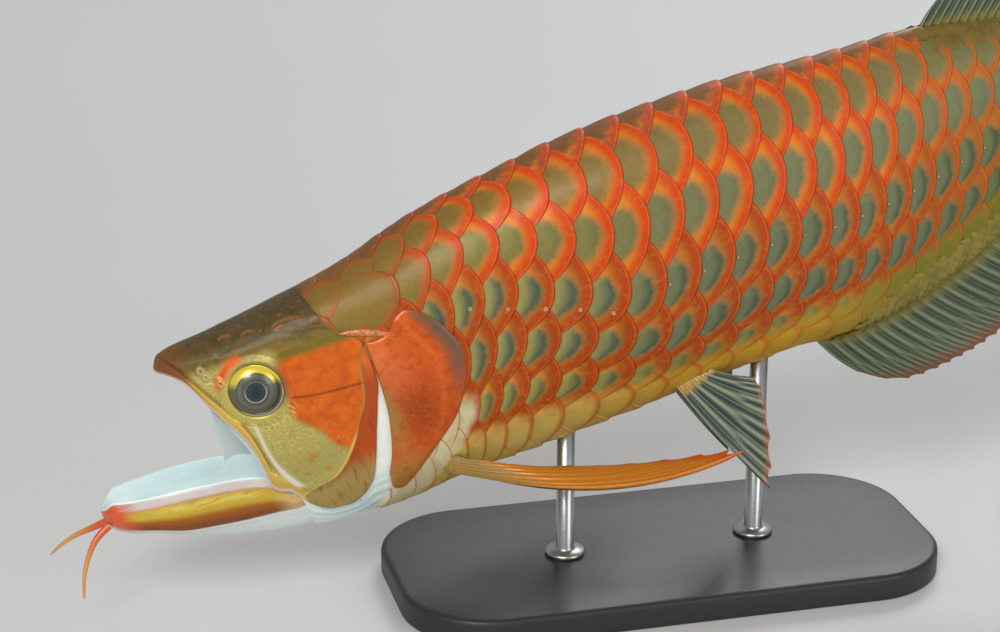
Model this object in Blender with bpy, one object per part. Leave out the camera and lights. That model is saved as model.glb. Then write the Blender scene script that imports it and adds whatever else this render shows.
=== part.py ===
# Asian arowana: a still, life-size model of the whole fish, held by a plain stand.
# The fish is modelled straight, in millimetres: x runs from the snout tip to the tail, the
# fish's left side is at -y, and z is up. Every vertex is then bent into the photo's pose.
# The origin is the centre of the stand base's underside.
import math

import bmesh
import bpy
import numpy as np
from mathutils import Matrix, Vector

MM = 0.001
GAP = 0.35            # clearance between touching pieces

# Driving sizes of the fish
BODY_LENGTH = 480.0   # snout tip to the end of the tail's flesh
PITCH = math.radians(18.0)
HEADING_FRONT = 10.0  # degrees, turned away from the camera
HEADING_RISE = 10.0
TAIL_BEND = 56.0
TAIL_BEND_START = 0.6

# Stand
BASE_LENGTH = 250.0
BASE_WIDTH = 118.0
BASE_THICKNESS = 12.0
BASE_TOP_BELOW_SNOUT = 102.0
ROD_RADIUS = 4.0
ROD_SOCKET_DEPTH = 16.0
ROD_STATIONS = {"stand_rod_front": 158.0, "stand_rod_rear": 252.0}

# Scales
ROWS = 14             # rows round the body; row 0 is mid-back and row 7 mid-belly
FIRST_SCALE_X = 78.0
SCALE_RELIEF = 1.0
COLLAR_FRONT_X = 56.0
TORSO_END_X = 275.0


def smooth_table(*pairs):
    """Return a smooth function through (station, value) pairs that never overshoots them."""
    s, v = np.array(pairs, float).T
    h = np.diff(s)
    d = np.diff(v) / h
    slope = np.zeros_like(v)
    same_way = d[1:] * d[:-1] > 0
    w1, w2 = 2 * h[1:] + h[:-1], h[1:] + 2 * h[:-1]
    d0, d1 = np.where(same_way, d[:-1], 1.0), np.where(same_way, d[1:], 1.0)
    slope[1:-1] = np.where(same_way, (w1 + w2) / (w1 / d0 + w2 / d1), 0.0)
    slope[0], slope[-1] = d[0], d[-1]

    def value(x):
        x = np.clip(x, s[0], s[-1])
        k = np.clip(np.searchsorted(s, x, side="right") - 1, 0, len(h) - 1)
        t = (x - s[k]) / h[k]
        return (v[k] * (1 + 2 * t) * (1 - t) ** 2 + v[k + 1] * t * t * (3 - 2 * t)
                + h[k] * (slope[k] * t * (1 - t) ** 2 - slope[k + 1] * t * t * (1 - t)))
    return value


def smoothstep(low, high, x):
    t = np.clip((np.asarray(x, float) - low) / (high - low), 0, 1)
    return t * t * (3 - 2 * t)


# Outline of the fish, seen from the side and from above
TOP = smooth_table((0, 0), (2, 3.4), (6, 5.4), (12, 6.2), (24, 6.7), (36, 7.7), (48, 8.9), (60, 10.3),
                   (72, 11.5), (84, 13.4), (96, 15.9), (108, 19.2), (120, 22.3), (144, 26.4),
                   (168, 29.0), (192, 31.2), (216, 31.7), (240, 31.2), (264, 30.0), (288, 27.6),
                   (312, 24.4), (336, 21.6), (360, 19.6), (394, 10.5), (430, 1.0), (460, -5.5),
                   (480, -7.0))
BOTTOM = smooth_table((-5, -30), (10, -60), (24, -84), (36, -91.5), (48, -94.5), (60, -95.5),
                      (84, -96.5), (110, -95), (140, -95.5), (200, -96.5), (250, -97.2),
                      (268, -98.0), (279, -100), (298, -103), (318, -102), (345, -97),
                      (370, -89.5), (400, -74), (430, -59), (450, -50), (465, -47), (480, -46.5))
HALF_WIDTH = smooth_table((0, 4.5), (3, 9), (8, 12.5), (15, 15.2), (25, 18.2), (36, 20.6), (48, 22.4),
                          (60, 23.7), (72, 24.8), (85, 25.8), (100, 26.6), (120, 27.4), (160, 28.2),
                          (205, 28.5), (240, 27.8), (280, 25.5), (320, 21.5), (360, 17), (400, 12.5),
                          (430, 9.3), (460, 7), (480, 6))

# Cross-sections: share of the depth, from the back, and share of the half width, at each row
HEAD_DEPTHS = np.array([0, .045, .16, .33, .53, .73, .89, 1])
HEAD_WIDTHS = np.array([0, .64, .90, 1.0, 1.0, .94, .70, 0])
SHOULDER_DEPTHS = np.array([0, .035, .138, .318, .519, .703, .86, 1])
SHOULDER_WIDTHS = np.array([0, .42, .80, .985, 1.0, .91, .66, 0])
MIDDLE_DEPTHS = np.array([0, .115, .318, .544, .723, .848, .935, 1])
MIDDLE_WIDTHS = np.array([0, .76, .985, 1.0, .89, .68, .42, 0])


def ring_slope_matrix():
    """Slopes of the closed cubic spline through one value a row, as a matrix."""
    eye = np.eye(ROWS)
    left, right = np.roll(eye, -1, axis=1), np.roll(eye, 1, axis=1)
    return np.linalg.solve(4 * eye + left + right, 3 * (right - left))


RING_SLOPES = ring_slope_matrix()


def ring_value(controls, row):
    """Value at a row coordinate of the closed spline through controls, one line for each point."""
    slopes = controls @ RING_SLOPES.T
    row = np.mod(row, ROWS)
    k = np.minimum(row.astype(int), ROWS - 1)
    t = row - k
    n = np.arange(len(row))
    k1 = (k + 1) % ROWS
    return (controls[n, k] * (1 + 2 * t) * (1 - t) ** 2 + controls[n, k1] * t * t * (3 - 2 * t)
            + slopes[n, k] * t * (1 - t) ** 2 - slopes[n, k1] * t * t * (1 - t))


def section_controls(x):
    """Distance to the side and height of the section's rows at each x."""
    to_shoulder = smoothstep(58, 125, x)[:, None]
    to_middle = smoothstep(128, 212, x)[:, None]
    widths = HEAD_WIDTHS + (SHOULDER_WIDTHS - HEAD_WIDTHS) * to_shoulder
    widths = widths + (MIDDLE_WIDTHS - widths) * to_middle
    depths = HEAD_DEPTHS + (SHOULDER_DEPTHS - HEAD_DEPTHS) * to_shoulder
    depths = depths + (MIDDLE_DEPTHS - depths) * to_middle
    top, bottom, half = TOP(x)[:, None], BOTTOM(x)[:, None], HALF_WIDTH(x)[:, None]
    side = -half * widths
    height = top + (bottom - top) * depths
    side = np.hstack([side, -side[:, 6:0:-1]])
    height = np.hstack([height, height[:, 6:0:-1]])
    return side, height


def body_surface(x, row, lift=0.0):
    """Points of the body's skin at x and a row coordinate, raised along the section's normal."""
    x, row, lift = (np.ravel(a).astype(float) for a in np.broadcast_arrays(x, row, lift))
    side, height = section_controls(x)
    step = 0.03
    y, z = ring_value(side, row), ring_value(height, row)
    dy = ring_value(side, row + step) - ring_value(side, row - step)
    dz = ring_value(height, row + step) - ring_value(height, row - step)
    size = np.hypot(dy, dz)
    return np.stack([x, y + lift * dz / size, z - lift * dy / size], axis=1)


ROW_SAMPLES = np.linspace(0.02, 6.98, 175)


def row_at(x, z):
    """Row coordinate, on the near side, of the skin at x and height z."""
    x, z = (np.ravel(a).astype(float) for a in np.broadcast_arrays(x, z))
    found = np.empty(len(x))
    for k, (station, level) in enumerate(zip(x, z)):
        height = section_controls(np.full(1, station))[1]
        levels = ring_value(np.repeat(height, len(ROW_SAMPLES), axis=0), ROW_SAMPLES)
        found[k] = np.interp(-level, -levels, ROW_SAMPLES)
    return found


def skin(x, z, lift=0.0):
    """Points of the near side's skin at x and about height z."""
    return body_surface(x, row_at(x, z), lift)


# Pose
def centre_line():
    """The bent centre line, as stations along the fish and their two plan coordinates."""
    stations = np.linspace(-100, 640, 1481)
    u = stations / BODY_LENGTH
    bend = TAIL_BEND * np.clip(u - TAIL_BEND_START, 0, None) ** 2
    heading = np.radians(HEADING_FRONT + HEADING_RISE * u + bend)
    step = stations[1] - stations[0]
    plan_x = np.concatenate([[0], np.cumsum(np.cos(heading[1:] / 2 + heading[:-1] / 2))]) * step
    plan_y = np.concatenate([[0], np.cumsum(np.sin(heading[1:] / 2 + heading[:-1] / 2))]) * step
    snout = np.searchsorted(stations, 0.0)
    return stations, heading, plan_x - plan_x[snout], plan_y - plan_y[snout]


STATIONS, HEADINGS, PLAN_X, PLAN_Y = centre_line()


def bent(points):
    """Bend points along the centre line, in plan, and pitch the fish's nose down."""
    points = np.asarray(points, float)
    x, y, z = points[..., 0], points[..., 1], points[..., 2]
    heading = np.interp(x, STATIONS, HEADINGS)
    along = np.interp(x, STATIONS, PLAN_X) - y * np.sin(heading)
    across = np.interp(x, STATIONS, PLAN_Y) + y * np.cos(heading)
    return np.stack([along * math.cos(PITCH) - z * math.sin(PITCH), across,
                     along * math.sin(PITCH) + z * math.cos(PITCH)], axis=-1)


def belly_point(station):
    return bent(body_surface(station, 7.0))[0]


BASE_CENTRE = sum(belly_point(s) for s in ROD_STATIONS.values()) / len(ROD_STATIONS)
BASE_HEADING = float(np.interp(sum(ROD_STATIONS.values()) / 2, STATIONS, HEADINGS))
ORIGIN = np.array([BASE_CENTRE[0], BASE_CENTRE[1], -BASE_TOP_BELOW_SNOUT - BASE_THICKNESS])


def posed(points):
    """Straight-fish millimetres to metres in the part's frame."""
    return (bent(points) - ORIGIN) * MM


# Blender helpers
def clear_scene():
    for item in list(bpy.data.objects):
        bpy.data.objects.remove(item, do_unlink=True)


def new_collection(name):
    collection = bpy.data.collections.new(name)
    bpy.context.scene.collection.children.link(collection)
    return collection


def material(name, colour, roughness, metallic=0.0):
    made = bpy.data.materials.new(name)
    made.use_nodes = True
    shader = made.node_tree.nodes["Principled BSDF"]
    shader.inputs["Base Color"].default_value = (*colour, 1.0)
    shader.inputs["Roughness"].default_value = roughness
    shader.inputs["Metallic"].default_value = metallic
    return made


def closed_mesh(name, points, faces):
    """A mesh object in straight-fish millimetres, its normals outward."""
    mesh = bpy.data.meshes.new(name)
    mesh.from_pydata([tuple(map(float, p)) for p in points], [], faces)
    bm = bmesh.new()
    bm.from_mesh(mesh)
    bmesh.ops.recalc_face_normals(bm, faces=bm.faces)
    bm.to_mesh(mesh)
    bm.free()
    made = bpy.data.objects.new(name, mesh)
    bpy.context.scene.collection.objects.link(made)
    return made


def subtract(target, cutters):
    """Cut the cutters out of the target one after another, and remove them."""
    for cutter in cutters:
        modifier = target.modifiers.new("cut", "BOOLEAN")
        modifier.operation = "DIFFERENCE"
        modifier.object = cutter
        evaluated = target.evaluated_get(bpy.context.evaluated_depsgraph_get())
        mesh = bpy.data.meshes.new_from_object(evaluated)
        target.modifiers.clear()
        target.data = mesh
        bpy.data.objects.remove(cutter, do_unlink=True)


def keep_largest(made):
    """Drop every loose piece of a mesh but the largest."""
    bm = bmesh.new()
    bm.from_mesh(made.data)
    unseen = set(bm.verts)
    islands = []
    while unseen:
        stack = [unseen.pop()]
        island = list(stack)
        while stack:
            for edge in stack.pop().link_edges:
                for vert in edge.verts:
                    if vert in unseen:
                        unseen.remove(vert)
                        stack.append(vert)
                        island.append(vert)
        islands.append(island)
    islands.sort(key=len)
    bmesh.ops.delete(bm, geom=[v for island in islands[:-1] for v in island], context="VERTS")
    bm.to_mesh(made.data)
    bm.free()


def finish(made, name, look, collection, fish=True):
    """Pose a straight piece, put its origin in its middle and file it as a named node."""
    mesh = made.data
    if fish:
        points = posed([tuple(v.co) for v in mesh.vertices])
    else:
        points = np.array([tuple(v.co) for v in mesh.vertices])
    middle = (points.min(axis=0) + points.max(axis=0)) / 2
    for vert, point in zip(mesh.vertices, points - middle):
        vert.co = point
    mesh.materials.clear()
    mesh.materials.append(look)
    made.name = name
    made.location = middle
    for home in list(made.users_collection):
        home.objects.unlink(made)
    collection.objects.link(made)
    return made


def mirrored(made):
    """A copy of a straight piece on the fish's other side."""
    other = bpy.data.objects.new(made.name + "_mirror", made.data.copy())
    bpy.context.scene.collection.objects.link(other)
    other.data.transform(Matrix.Scale(-1, 4, Vector((0, 1, 0))))
    other.data.flip_normals()
    return other


# Body: every scale is a raised plate of one closed surface
SCALE_PITCH = smooth_table((0, 16.2), (260, 16.0), (300, 13.8), (350, 13.0), (400, 12.0), (480, 11.0))
SCALE_STATIONS = np.linspace(20, BODY_LENGTH, 1841)
SCALE_COUNTS = np.concatenate([[0], np.cumsum(np.diff(SCALE_STATIONS) / SCALE_PITCH(SCALE_STATIONS[1:]))])
SCALE_COUNTS = SCALE_COUNTS - np.interp(FIRST_SCALE_X, SCALE_STATIONS, SCALE_COUNTS)
SCALE_COLUMNS = int(np.interp(BODY_LENGTH - 6, SCALE_STATIONS, SCALE_COUNTS))
ROW_SLANT = 3.3       # scales that a column leans forward from back to belly
EDGE = 0.25           # the middle stretch of a free edge ends this share of a row from its centre
TIP = 0.75            # its ends lie this far from the row's centre


def folded(row):
    """Row coordinate counted from the back on either side."""
    row = np.mod(row, ROWS)
    return np.minimum(row, ROWS - row)


def scale_x(count, row):
    """Where a scale coordinate lies along the fish; columns lean forward towards the belly."""
    lean = ROW_SLANT * ((1 - np.cos(np.pi * folded(row) / (ROWS / 2))) / 2) ** 1.3
    ramp = smoothstep(-1, 8, count) * (1 - smoothstep(SCALE_COLUMNS - 8, SCALE_COLUMNS - 1, count))
    return np.interp(count - lean * ramp, SCALE_COUNTS, SCALE_STATIONS)


def relief(x, row):
    """Height of a scale's free edge: low on the breast, under the fins and towards the tail."""
    row = folded(row)
    height = 1 - 0.55 * smoothstep(380, 470, x)
    height = height * (1 - 0.7 * smoothstep(3.9, 4.8, row) * (1 - smoothstep(118, 140, x)))
    under_dorsal = smoothstep(350, 358, x) * (1 - smoothstep(0.5, 1.0, row))
    under_anal = smoothstep(262, 272, x) * smoothstep(5.8, 6.4, row)
    at_pelvic = smoothstep(198, 206, x) * (1 - smoothstep(238, 246, x)) * smoothstep(4.9, 5.5, row)
    height = height * (1 - 0.75 * np.maximum(np.maximum(under_dorsal, under_anal), at_pelvic))
    return SCALE_RELIEF * height


def scaled_body():
    points, index = [], {}

    def add(key, count, row, share):
        x = float(scale_x(np.array(count), np.array(row)))
        index[key] = len(points)
        points.append(body_surface(x, row, share * relief(x, row))[0])

    for j in range(ROWS):
        for i in range(SCALE_COLUMNS):
            rear = i + (j % 2) / 2
            for k in (-1, 0, 1):
                w = EDGE * k
                add(("up", i, j, k), rear - w * w, j + w, 1.0)
                add(("low", i, j, k), rear - 1 - w * w, j + w, 0.0)
            for k in (-1, 1):
                add(("tip", i, j, k), rear - TIP * TIP, j + TIP * k, 0.45)

    def v(kind, i, j, k):
        return index[(kind, i, j % ROWS, k)]

    faces = []
    for j in range(ROWS):
        for i in range(SCALE_COLUMNS):
            faces += [(v("tip", i, j, -1), v("low", i, j, -1), v("up", i, j, -1)),
                      (v("low", i, j, -1), v("low", i, j, 0), v("up", i, j, 0), v("up", i, j, -1)),
                      (v("low", i, j, 0), v("low", i, j, 1), v("up", i, j, 1), v("up", i, j, 0)),
                      (v("low", i, j, 1), v("tip", i, j, 1), v("up", i, j, 1))]
            beside = i + j % 2
            for k in (-1, 1):
                if beside < SCALE_COLUMNS:
                    faces.append((v("up", i, j, k), v("tip", i, j, k), v("low", beside, j + k, -k),
                                  v("tip", beside, j + k, -k)))
                if i + 1 < SCALE_COLUMNS:
                    faces.append((v("up", i, j, 0), v("up", i, j, k), v("tip", beside, j + k, -k),
                                  v("low", i + 1, j, k), v("low", i + 1, j, 0)))
    last = SCALE_COLUMNS - 1
    front, rear = [], []
    for j in range(ROWS):
        ends = (j % 2 == 0)
        lows = [("low", 0, j, k) for k in (-1, 0, 1)]
        ups = [("up", last, j, k) for k in (-1, 0, 1)]
        front += [("tip", 0, j, -1)] * ends + lows + [("tip", 0, j, 1)] * ends
        rear += [("tip", last, j, -1)] * (not ends) + ups + [("tip", last, j, 1)] * (not ends)
    rows_of = {"up": EDGE, "low": EDGE, "tip": TIP}
    for loop, x in ((front, COLLAR_FRONT_X), (rear, BODY_LENGTH - 1)):
        collar = {}
        for kind, _, j, k in loop:
            row = round((j + rows_of[kind] * k) % ROWS, 4)
            if row not in collar:
                collar[row] = len(points)
                points.append(body_surface(x, row)[0])
        rows = [round((j + rows_of[kind] * k) % ROWS, 4) for kind, _, j, k in loop]
        for a in range(len(loop)):
            b = (a + 1) % len(loop)
            corners = [index[loop[a]], index[loop[b]], collar[rows[b]], collar[rows[a]]]
            faces.append(tuple(dict.fromkeys(corners)))
        middle = len(points)
        points.append(np.mean([points[c] for c in collar.values()], axis=0))
        order = sorted(collar)
        faces += [(collar[order[a]], collar[order[(a + 1) % len(order)]], middle)
                  for a in range(len(order))]
    return closed_mesh("scaled_body", points, faces)


def prism(name, outline, half):
    """A side-view outline carried straight across the fish, as a cutter."""
    n = len(outline)
    points = [(x, y, z) for y in (-half, half) for x, z in outline]
    sides = [(k, (k + 1) % n, n + (k + 1) % n, n + k) for k in range(n)]
    return closed_mesh(name, points, sides + [tuple(range(n)), tuple(range(2 * n - 1, n - 1, -1))])


def slab(name, x0, x1):
    return prism(name, [(x0, -200), (x1, -200), (x1, 200), (x0, 200)], 100)


# Head: side-view outlines, front to rear and top to bottom
def side_curve(*points):
    """Smooth side-view curve through points, by its share of the points' chord length."""
    points = np.array(points, float)
    share = np.concatenate([[0], np.cumsum(np.hypot(*np.diff(points, axis=0).T))])
    share = share / share[-1]
    x, z = (smooth_table(*zip(share, column)) for column in points.T)
    return lambda t: np.stack([x(t), z(t)], axis=-1)


HEAD_TOP_LENGTH = 70.0
LOWER_EDGE = side_curve((0.5, -1.0), (5, -2.5), (10, -6.5), (13.5, -12), (16.5, -19), (20.5, -27),
                        (25, -36), (27.5, -43), (28.7, -50), (29.2, -57), (29.6, -63), (32, -66.5),
                        (36, -68), (39, -72), (43, -77.5), (50, -83), (58, -84), (65, -81), (70, -76))
REAR_EDGE = side_curve((HEAD_TOP_LENGTH, 11.2), (72, 5), (75, -2), (80, -7.5), (85.5, -13), (86.5, -22),
                       (86.5, -31), (83.5, -41), (79.5, -52), (76, -62), (73, -70), (70, -76))
MAXILLA_END = 0.585    # share of the lower edge that is the upper jaw's
MOUTH_END = 0.66
LIP_THICKNESS = 2.4
EYE_CENTRE = (38.0, -19.0)
EYE_RADIUS = 11.6
EYE_DEPTH = 7.4
EYE_INSET = 4.6
HEAD_STATIONS = (0, .015, .04, .08, .13, .19, .25, .31, .37, .43, .49, .54, .58, .61, .64, .68, .73, .78,
                 .83, .88, .93, .975, 1)
LIP_OFFSETS = (10.5, 8.6, 7.6, 4.4, 1.4, 0)
CHEEK_DIVISIONS = 9
PALATE_POINTS = 5


def head_side(a, b):
    """Side-view place of head coordinates: a from the snout back, b from the top to the lower edge."""
    top = np.stack([HEAD_TOP_LENGTH * a, TOP(HEAD_TOP_LENGTH * a)], axis=-1)
    low = LOWER_EDGE(a)
    flat = (1 - b)[:, None] * top + b[:, None] * low
    end_top, end_low = REAR_EDGE(np.zeros(1)), REAR_EDGE(np.ones(1))
    bulge = REAR_EDGE(b) - (1 - b)[:, None] * end_top - b[:, None] * end_low
    return flat + (a ** 2.6)[:, None] * bulge


def ridge(distance, width):
    return np.exp(-(distance / width) ** 2)


def line_distance(x, z, points):
    """Distance from places in side view to a line of points, and how far along it they lie."""
    points = np.array(points, float)
    best = np.full(len(x), 1e9)
    for (x0, z0), (x1, z1) in zip(points[:-1], points[1:]):
        dx, dz = x1 - x0, z1 - z0
        t = np.clip(((x - x0) * dx + (z - z0) * dz) / (dx * dx + dz * dz), 0, 1)
        best = np.minimum(best, np.hypot(x - x0 - t * dx, z - z0 - t * dz))
    return best


CHEEK_RIDGE = [(85, -15), (81.5, -24), (80, -32), (76, -42), (70, -51), (64, -60), (56, -67), (44, -69)]
BROW_LINE = [(24, 2), (32, -3), (44, -5.5), (58, -1), (72, 3)]


def head_lift(x, z, from_lip, upper_jaw):
    """Height of the head's plates, ridges and lids over the plain skin."""
    from_eye = np.hypot(x - EYE_CENTRE[0], z - EYE_CENTRE[1])
    lift = 0.9 * ridge(from_eye - EYE_RADIUS - 1.2, 2.0)
    lift += 0.7 * ridge(line_distance(x, z, CHEEK_RIDGE), 2.6)
    lift += 0.5 * ridge(line_distance(x, z, BROW_LINE), 2.6)
    lift += upper_jaw * (1.0 * (1 - smoothstep(7.6, 8.2, from_lip)) - 0.9 * ridge(from_lip - 8.8, 1.0))
    return lift


def head_shares(a):
    """Shares from the top to the lower edge at one station of the head, and the height there."""
    top = np.array([HEAD_TOP_LENGTH * a, TOP(HEAD_TOP_LENGTH * a)])
    length = float(np.hypot(*(top - LOWER_EDGE(np.array([a]))[0]))) + 1e-6
    offsets = np.array(LIP_OFFSETS) * min(1, length / 26)
    cheek = np.linspace(0, 1 - offsets[0] / length, CHEEK_DIVISIONS, endpoint=False)
    return np.concatenate([cheek, 1 - offsets / length]), length


def head():
    points, faces, rings = [], [], []
    for a in HEAD_STATIONS:
        b, length = head_shares(a)
        side = head_side(np.full(len(b), a), b)
        upper_jaw = float(smoothstep(0.02, 0.08, a) * (1 - smoothstep(MAXILLA_END, MAXILLA_END + .03, a)))
        lift = head_lift(side[:, 0], side[:, 1], (1 - b) * length, upper_jaw)
        lift[0] = 0
        lift[-1] -= 0.6
        row = row_at(side[:, 0], side[:, 1])
        row[0] = 0.0
        near = body_surface(side[:, 0], row, lift)
        lip = near[-1]
        mouth = 1 - smoothstep(MOUTH_END - 0.1, MOUTH_END, a)
        roof = 1 - (0.30 + 0.2 * (1 - smoothstep(0.1, 0.3, a))) * mouth
        turn = np.pi * np.arange(1, PALATE_POINTS + 1) / (PALATE_POINTS + 1)
        depth_share = 1 - (1 - roof) * np.sin(turn) ** 0.7
        inner = head_side(np.full(PALATE_POINTS, a), depth_share)
        half = abs(lip[1]) - min(LIP_THICKNESS, 0.4 * abs(lip[1])) * mouth
        palate = np.column_stack([inner[:, 0], -half * np.cos(turn), inner[:, 1]])
        far = near[1:] * (1, -1, 1)
        inner_lip = half * (0.97 + 0.03 * mouth)
        ring = list(near[::-1]) + list(far)
        inner_level = lip[2] + 0.5 * mouth
        ring += [[lip[0], inner_lip, inner_level], *palate[::-1], [lip[0], -inner_lip, inner_level]]
        rings.append(range(len(points), len(points) + len(ring)))
        points += ring
    count = len(rings[0])
    for first, second in zip(rings[:-1], rings[1:]):
        for k in range(count):
            k1 = (k + 1) % count
            faces.append((first[k], first[k1], second[k1], second[k]))
    steps = CHEEK_DIVISIONS + len(LIP_OFFSETS) - 1
    for ring in (rings[0], rings[-1]):
        faces.append((ring[steps], ring[steps - 1], ring[steps + 1]))
        for k in range(1, steps - 1):
            faces.append((ring[steps - k], ring[steps - k - 1], ring[steps + k + 1], ring[steps + k]))
        across = [ring[0]] + list(ring[2 * steps + 1:])[::-1] + [ring[2 * steps]]
        half_way = len(across) // 2
        for k, (p, q) in enumerate(zip(across[:-1], across[1:])):
            faces.append((ring[1] if k < half_way else ring[2 * steps - 1], p, q))
        faces.append((ring[1], across[half_way], ring[2 * steps - 1]))
    return closed_mesh("head", points, faces)


def ellipsoid(name, centre, radii, segments=24, rings=12):
    """An ellipsoid whose poles point across the fish."""
    bm = bmesh.new()
    bmesh.ops.create_uvsphere(bm, u_segments=segments, v_segments=rings, radius=1.0,
                              matrix=Matrix.Rotation(math.pi / 2, 4, "X"))
    mesh = bpy.data.meshes.new(name)
    bm.to_mesh(mesh)
    bm.free()
    mesh.transform(Matrix.Translation(Vector(centre)) @ Matrix.Diagonal((*radii, 1)))
    made = bpy.data.objects.new(name, mesh)
    bpy.context.scene.collection.objects.link(made)
    return made


def eye_centre():
    outer = skin(*EYE_CENTRE)[0]
    return outer + np.array([0, EYE_INSET, 0])


def eye(grow=0.0):
    radii = (EYE_RADIUS + grow, EYE_DEPTH + grow, EYE_RADIUS + grow)
    return ellipsoid("eye", eye_centre(), radii, 22, 9)


NOSTRILS = ((19.0, -5.5, 1.7), (23.0, -10.5, 1.3))


def nostril_cutters():
    made = []
    for x, z, radius in NOSTRILS:
        made.append(ellipsoid("nostril", skin(x, z)[0], (radius, 2.2, radius), 8, 6))
    return made


# Gill cover: a plate over a hollow in the body
COVER_OUTLINE = side_curve((87.2, -14.0), (87.5, -24), (87.2, -33), (86.6, -44), (84.5, -56),
                           (81.5, -67), (78, -76), (77.5, -82), (81, -84.5), (88, -80.5), (97, -73),
                           (105, -66.5), (112.5, -60), (119, -50.5), (123.5, -40), (124.5, -31),
                           (121.5, -21), (115, -11.5), (107, -6.5), (102, -8.5), (97, -13.5), (92, -14.5),
                           (87.2, -14.0))
HOLLOW_OUTLINE = side_curve((83.5, -13.0), (84.0, -24), (84.5, -31), (81.5, -41), (77.5, -52),
                            (74, -62), (71, -70), (67, -77), (73, -85.3), (81, -85.2), (88.3, -81),
                            (97.4, -73.5), (105.4, -67), (112.9, -60.4), (119.4, -50.8), (124, -40),
                            (125, -31), (122, -20.8), (115.3, -11), (107, -6), (101.7, -8), (96.8, -13),
                            (92, -14), (83.5, -13.0))
COVER_CENTRE = (100.0, -42.0)
HOLLOW_CENTRE = (98.0, -42.0)
COVER_INNER_BONE = [(103, -10), (109, -20), (113, -31), (112, -44), (107, -56), (101, -65)]
COVER_POINTS = 36
HOLLOW_POINTS = 60
PLATE_DEPTH = 2.6     # from the plain skin to the middle of a plate's inner face
HOLLOW_EXTRA = 0.5    # further depth of the hollow, behind the plate's flat facets
PLATE_RINGS = (1.0, .97, .86, .62, .3)


def plate(name, outline, centre, n, outer, inner):
    """A closed plate on the near side: rings of an outline drawn in towards a centre."""
    rim = outline(np.linspace(0, 1, n, endpoint=False))
    centre = np.array(centre)
    layers = []
    for face in (outer, inner):
        rings = []
        for share in PLATE_RINGS:
            side = centre + (rim - centre) * share
            rings.append(skin(side[:, 0], side[:, 1], face(share, side[:, 0], side[:, 1])))
        middle = skin(centre[0], centre[1], face(0.0, centre[:1], centre[1:]))
        layers.append((rings, middle))
    points = np.vstack([p for rings, middle in layers for p in (*rings, middle)])
    faces = []
    half = n * len(PLATE_RINGS) + 1
    for start in (0, half):
        for r in range(len(PLATE_RINGS) - 1):
            for k in range(n):
                a, b = start + r * n + k, start + r * n + (k + 1) % n
                faces.append((a, b, b + n, a + n))
        last = start + (len(PLATE_RINGS) - 1) * n
        faces += [(last + k, last + (k + 1) % n, last + n) for k in range(n)]
    faces += [(k, (k + 1) % n, half + (k + 1) % n, half + k) for k in range(n)]
    return closed_mesh(name, points, faces)


def gill_cover():
    def outer(share, x, z):
        bone = 0.6 * ridge(line_distance(x, z, COVER_INNER_BONE), 2.2)
        return 0.7 + 0.8 * (1 - share ** 8) + bone * (share < 0.99)

    def inner(share, x, z):
        return -PLATE_DEPTH + 1.5 * share ** 6 + 0 * x
    return plate("gill_cover", COVER_OUTLINE, COVER_CENTRE, COVER_POINTS, outer, inner)


def gill_hollow():
    def outer(share, x, z):
        return 6.0 + 0 * x

    def inner(share, x, z):
        return -PLATE_DEPTH - GAP - HOLLOW_EXTRA + 1.5 * share ** 6 + 0 * x
    return plate("gill_hollow", HOLLOW_OUTLINE, HOLLOW_CENTRE, HOLLOW_POINTS, outer, inner)


def head_space():
    """What the head and the mouth take from the front of the body, as a cutter."""
    rear = REAR_EDGE(head_shares(1.0)[0]) + (GAP, 0)
    return prism("head_space", [(0, 40), (HEAD_TOP_LENGTH + GAP, 40), *map(tuple, rear),
                                (THROAT_REAR_X + GAP, -120), (0, -120)], 80)


# Throat: the strip of skin between the head's lower edge and the bottom of the body
THROAT_FRONT_X = 37.0
THROAT_REAR_X = 69.5
THROAT_SIDE = smooth_table((36, -72), (39, -74.5), (43, -79), (50, -84.2), (58, -85.2), (65, -82.2),
                           (70, -78))


def throat():
    rings = []
    for x in np.linspace(THROAT_FRONT_X, THROAT_REAR_X, 8):
        level = float(THROAT_SIDE(x)) - GAP
        start = row_at(x, level)[0]
        rows = np.linspace(start, ROWS - start, 13)
        under = body_surface(x, rows, -0.8)
        across = [(x, y, under[0][2]) for y in np.linspace(under[-1][1], under[0][1], 6)[1:-1]]
        rings.append(np.vstack([under, across]))
    return loft("throat", rings)


def loft(name, rings):
    """A closed solid through rings of equal count, with flat ends."""
    count = len(rings[0])
    points = np.vstack(rings)
    faces = []
    for r in range(len(rings) - 1):
        for k in range(count):
            a, b = r * count + k, r * count + (k + 1) % count
            faces.append((a, b, b + count, a + count))
    last = count * (len(rings) - 1)
    faces += [tuple(range(count)), tuple(range(last + count - 1, last - 1, -1))]
    return closed_mesh(name, points, faces)


# Lower jaw: a trough that hangs open, with the throat's skin below it
JAW_REAR_X = 36.0
JAW_TIP_X = -43.0
JAW_LIP = smooth_table((-43, -51.5), (-25, -53.5), (-8, -55), (9, -57.5), (21, -60.5), (29, -64), (36, -70))
JAW_EDGE = smooth_table((-43, -56), (-35, -60.5), (-21, -65), (-9, -69), (4, -71.5), (17, -74), (36, -77))
JAW_KEEL = smooth_table((-43, -58), (-41, -62), (-37, -65), (-23, -70.5), (-7, -77.5), (16, -87), (36, -91.8))
JAW_FLOOR = smooth_table((-43, -54), (-38, -56), (-23, -61), (-7, -67), (16, -74), (36, -80))
JAW_HALF_WIDTH = smooth_table((-43, 3.6), (-41.5, 6.8), (-38, 10), (-28, 14.2), (-8, 17.4), (6, 17.6),
                              (20, 16.6), (29, 16.0), (36, 16.4))
JAW_FLANGE = 4.6


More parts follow.
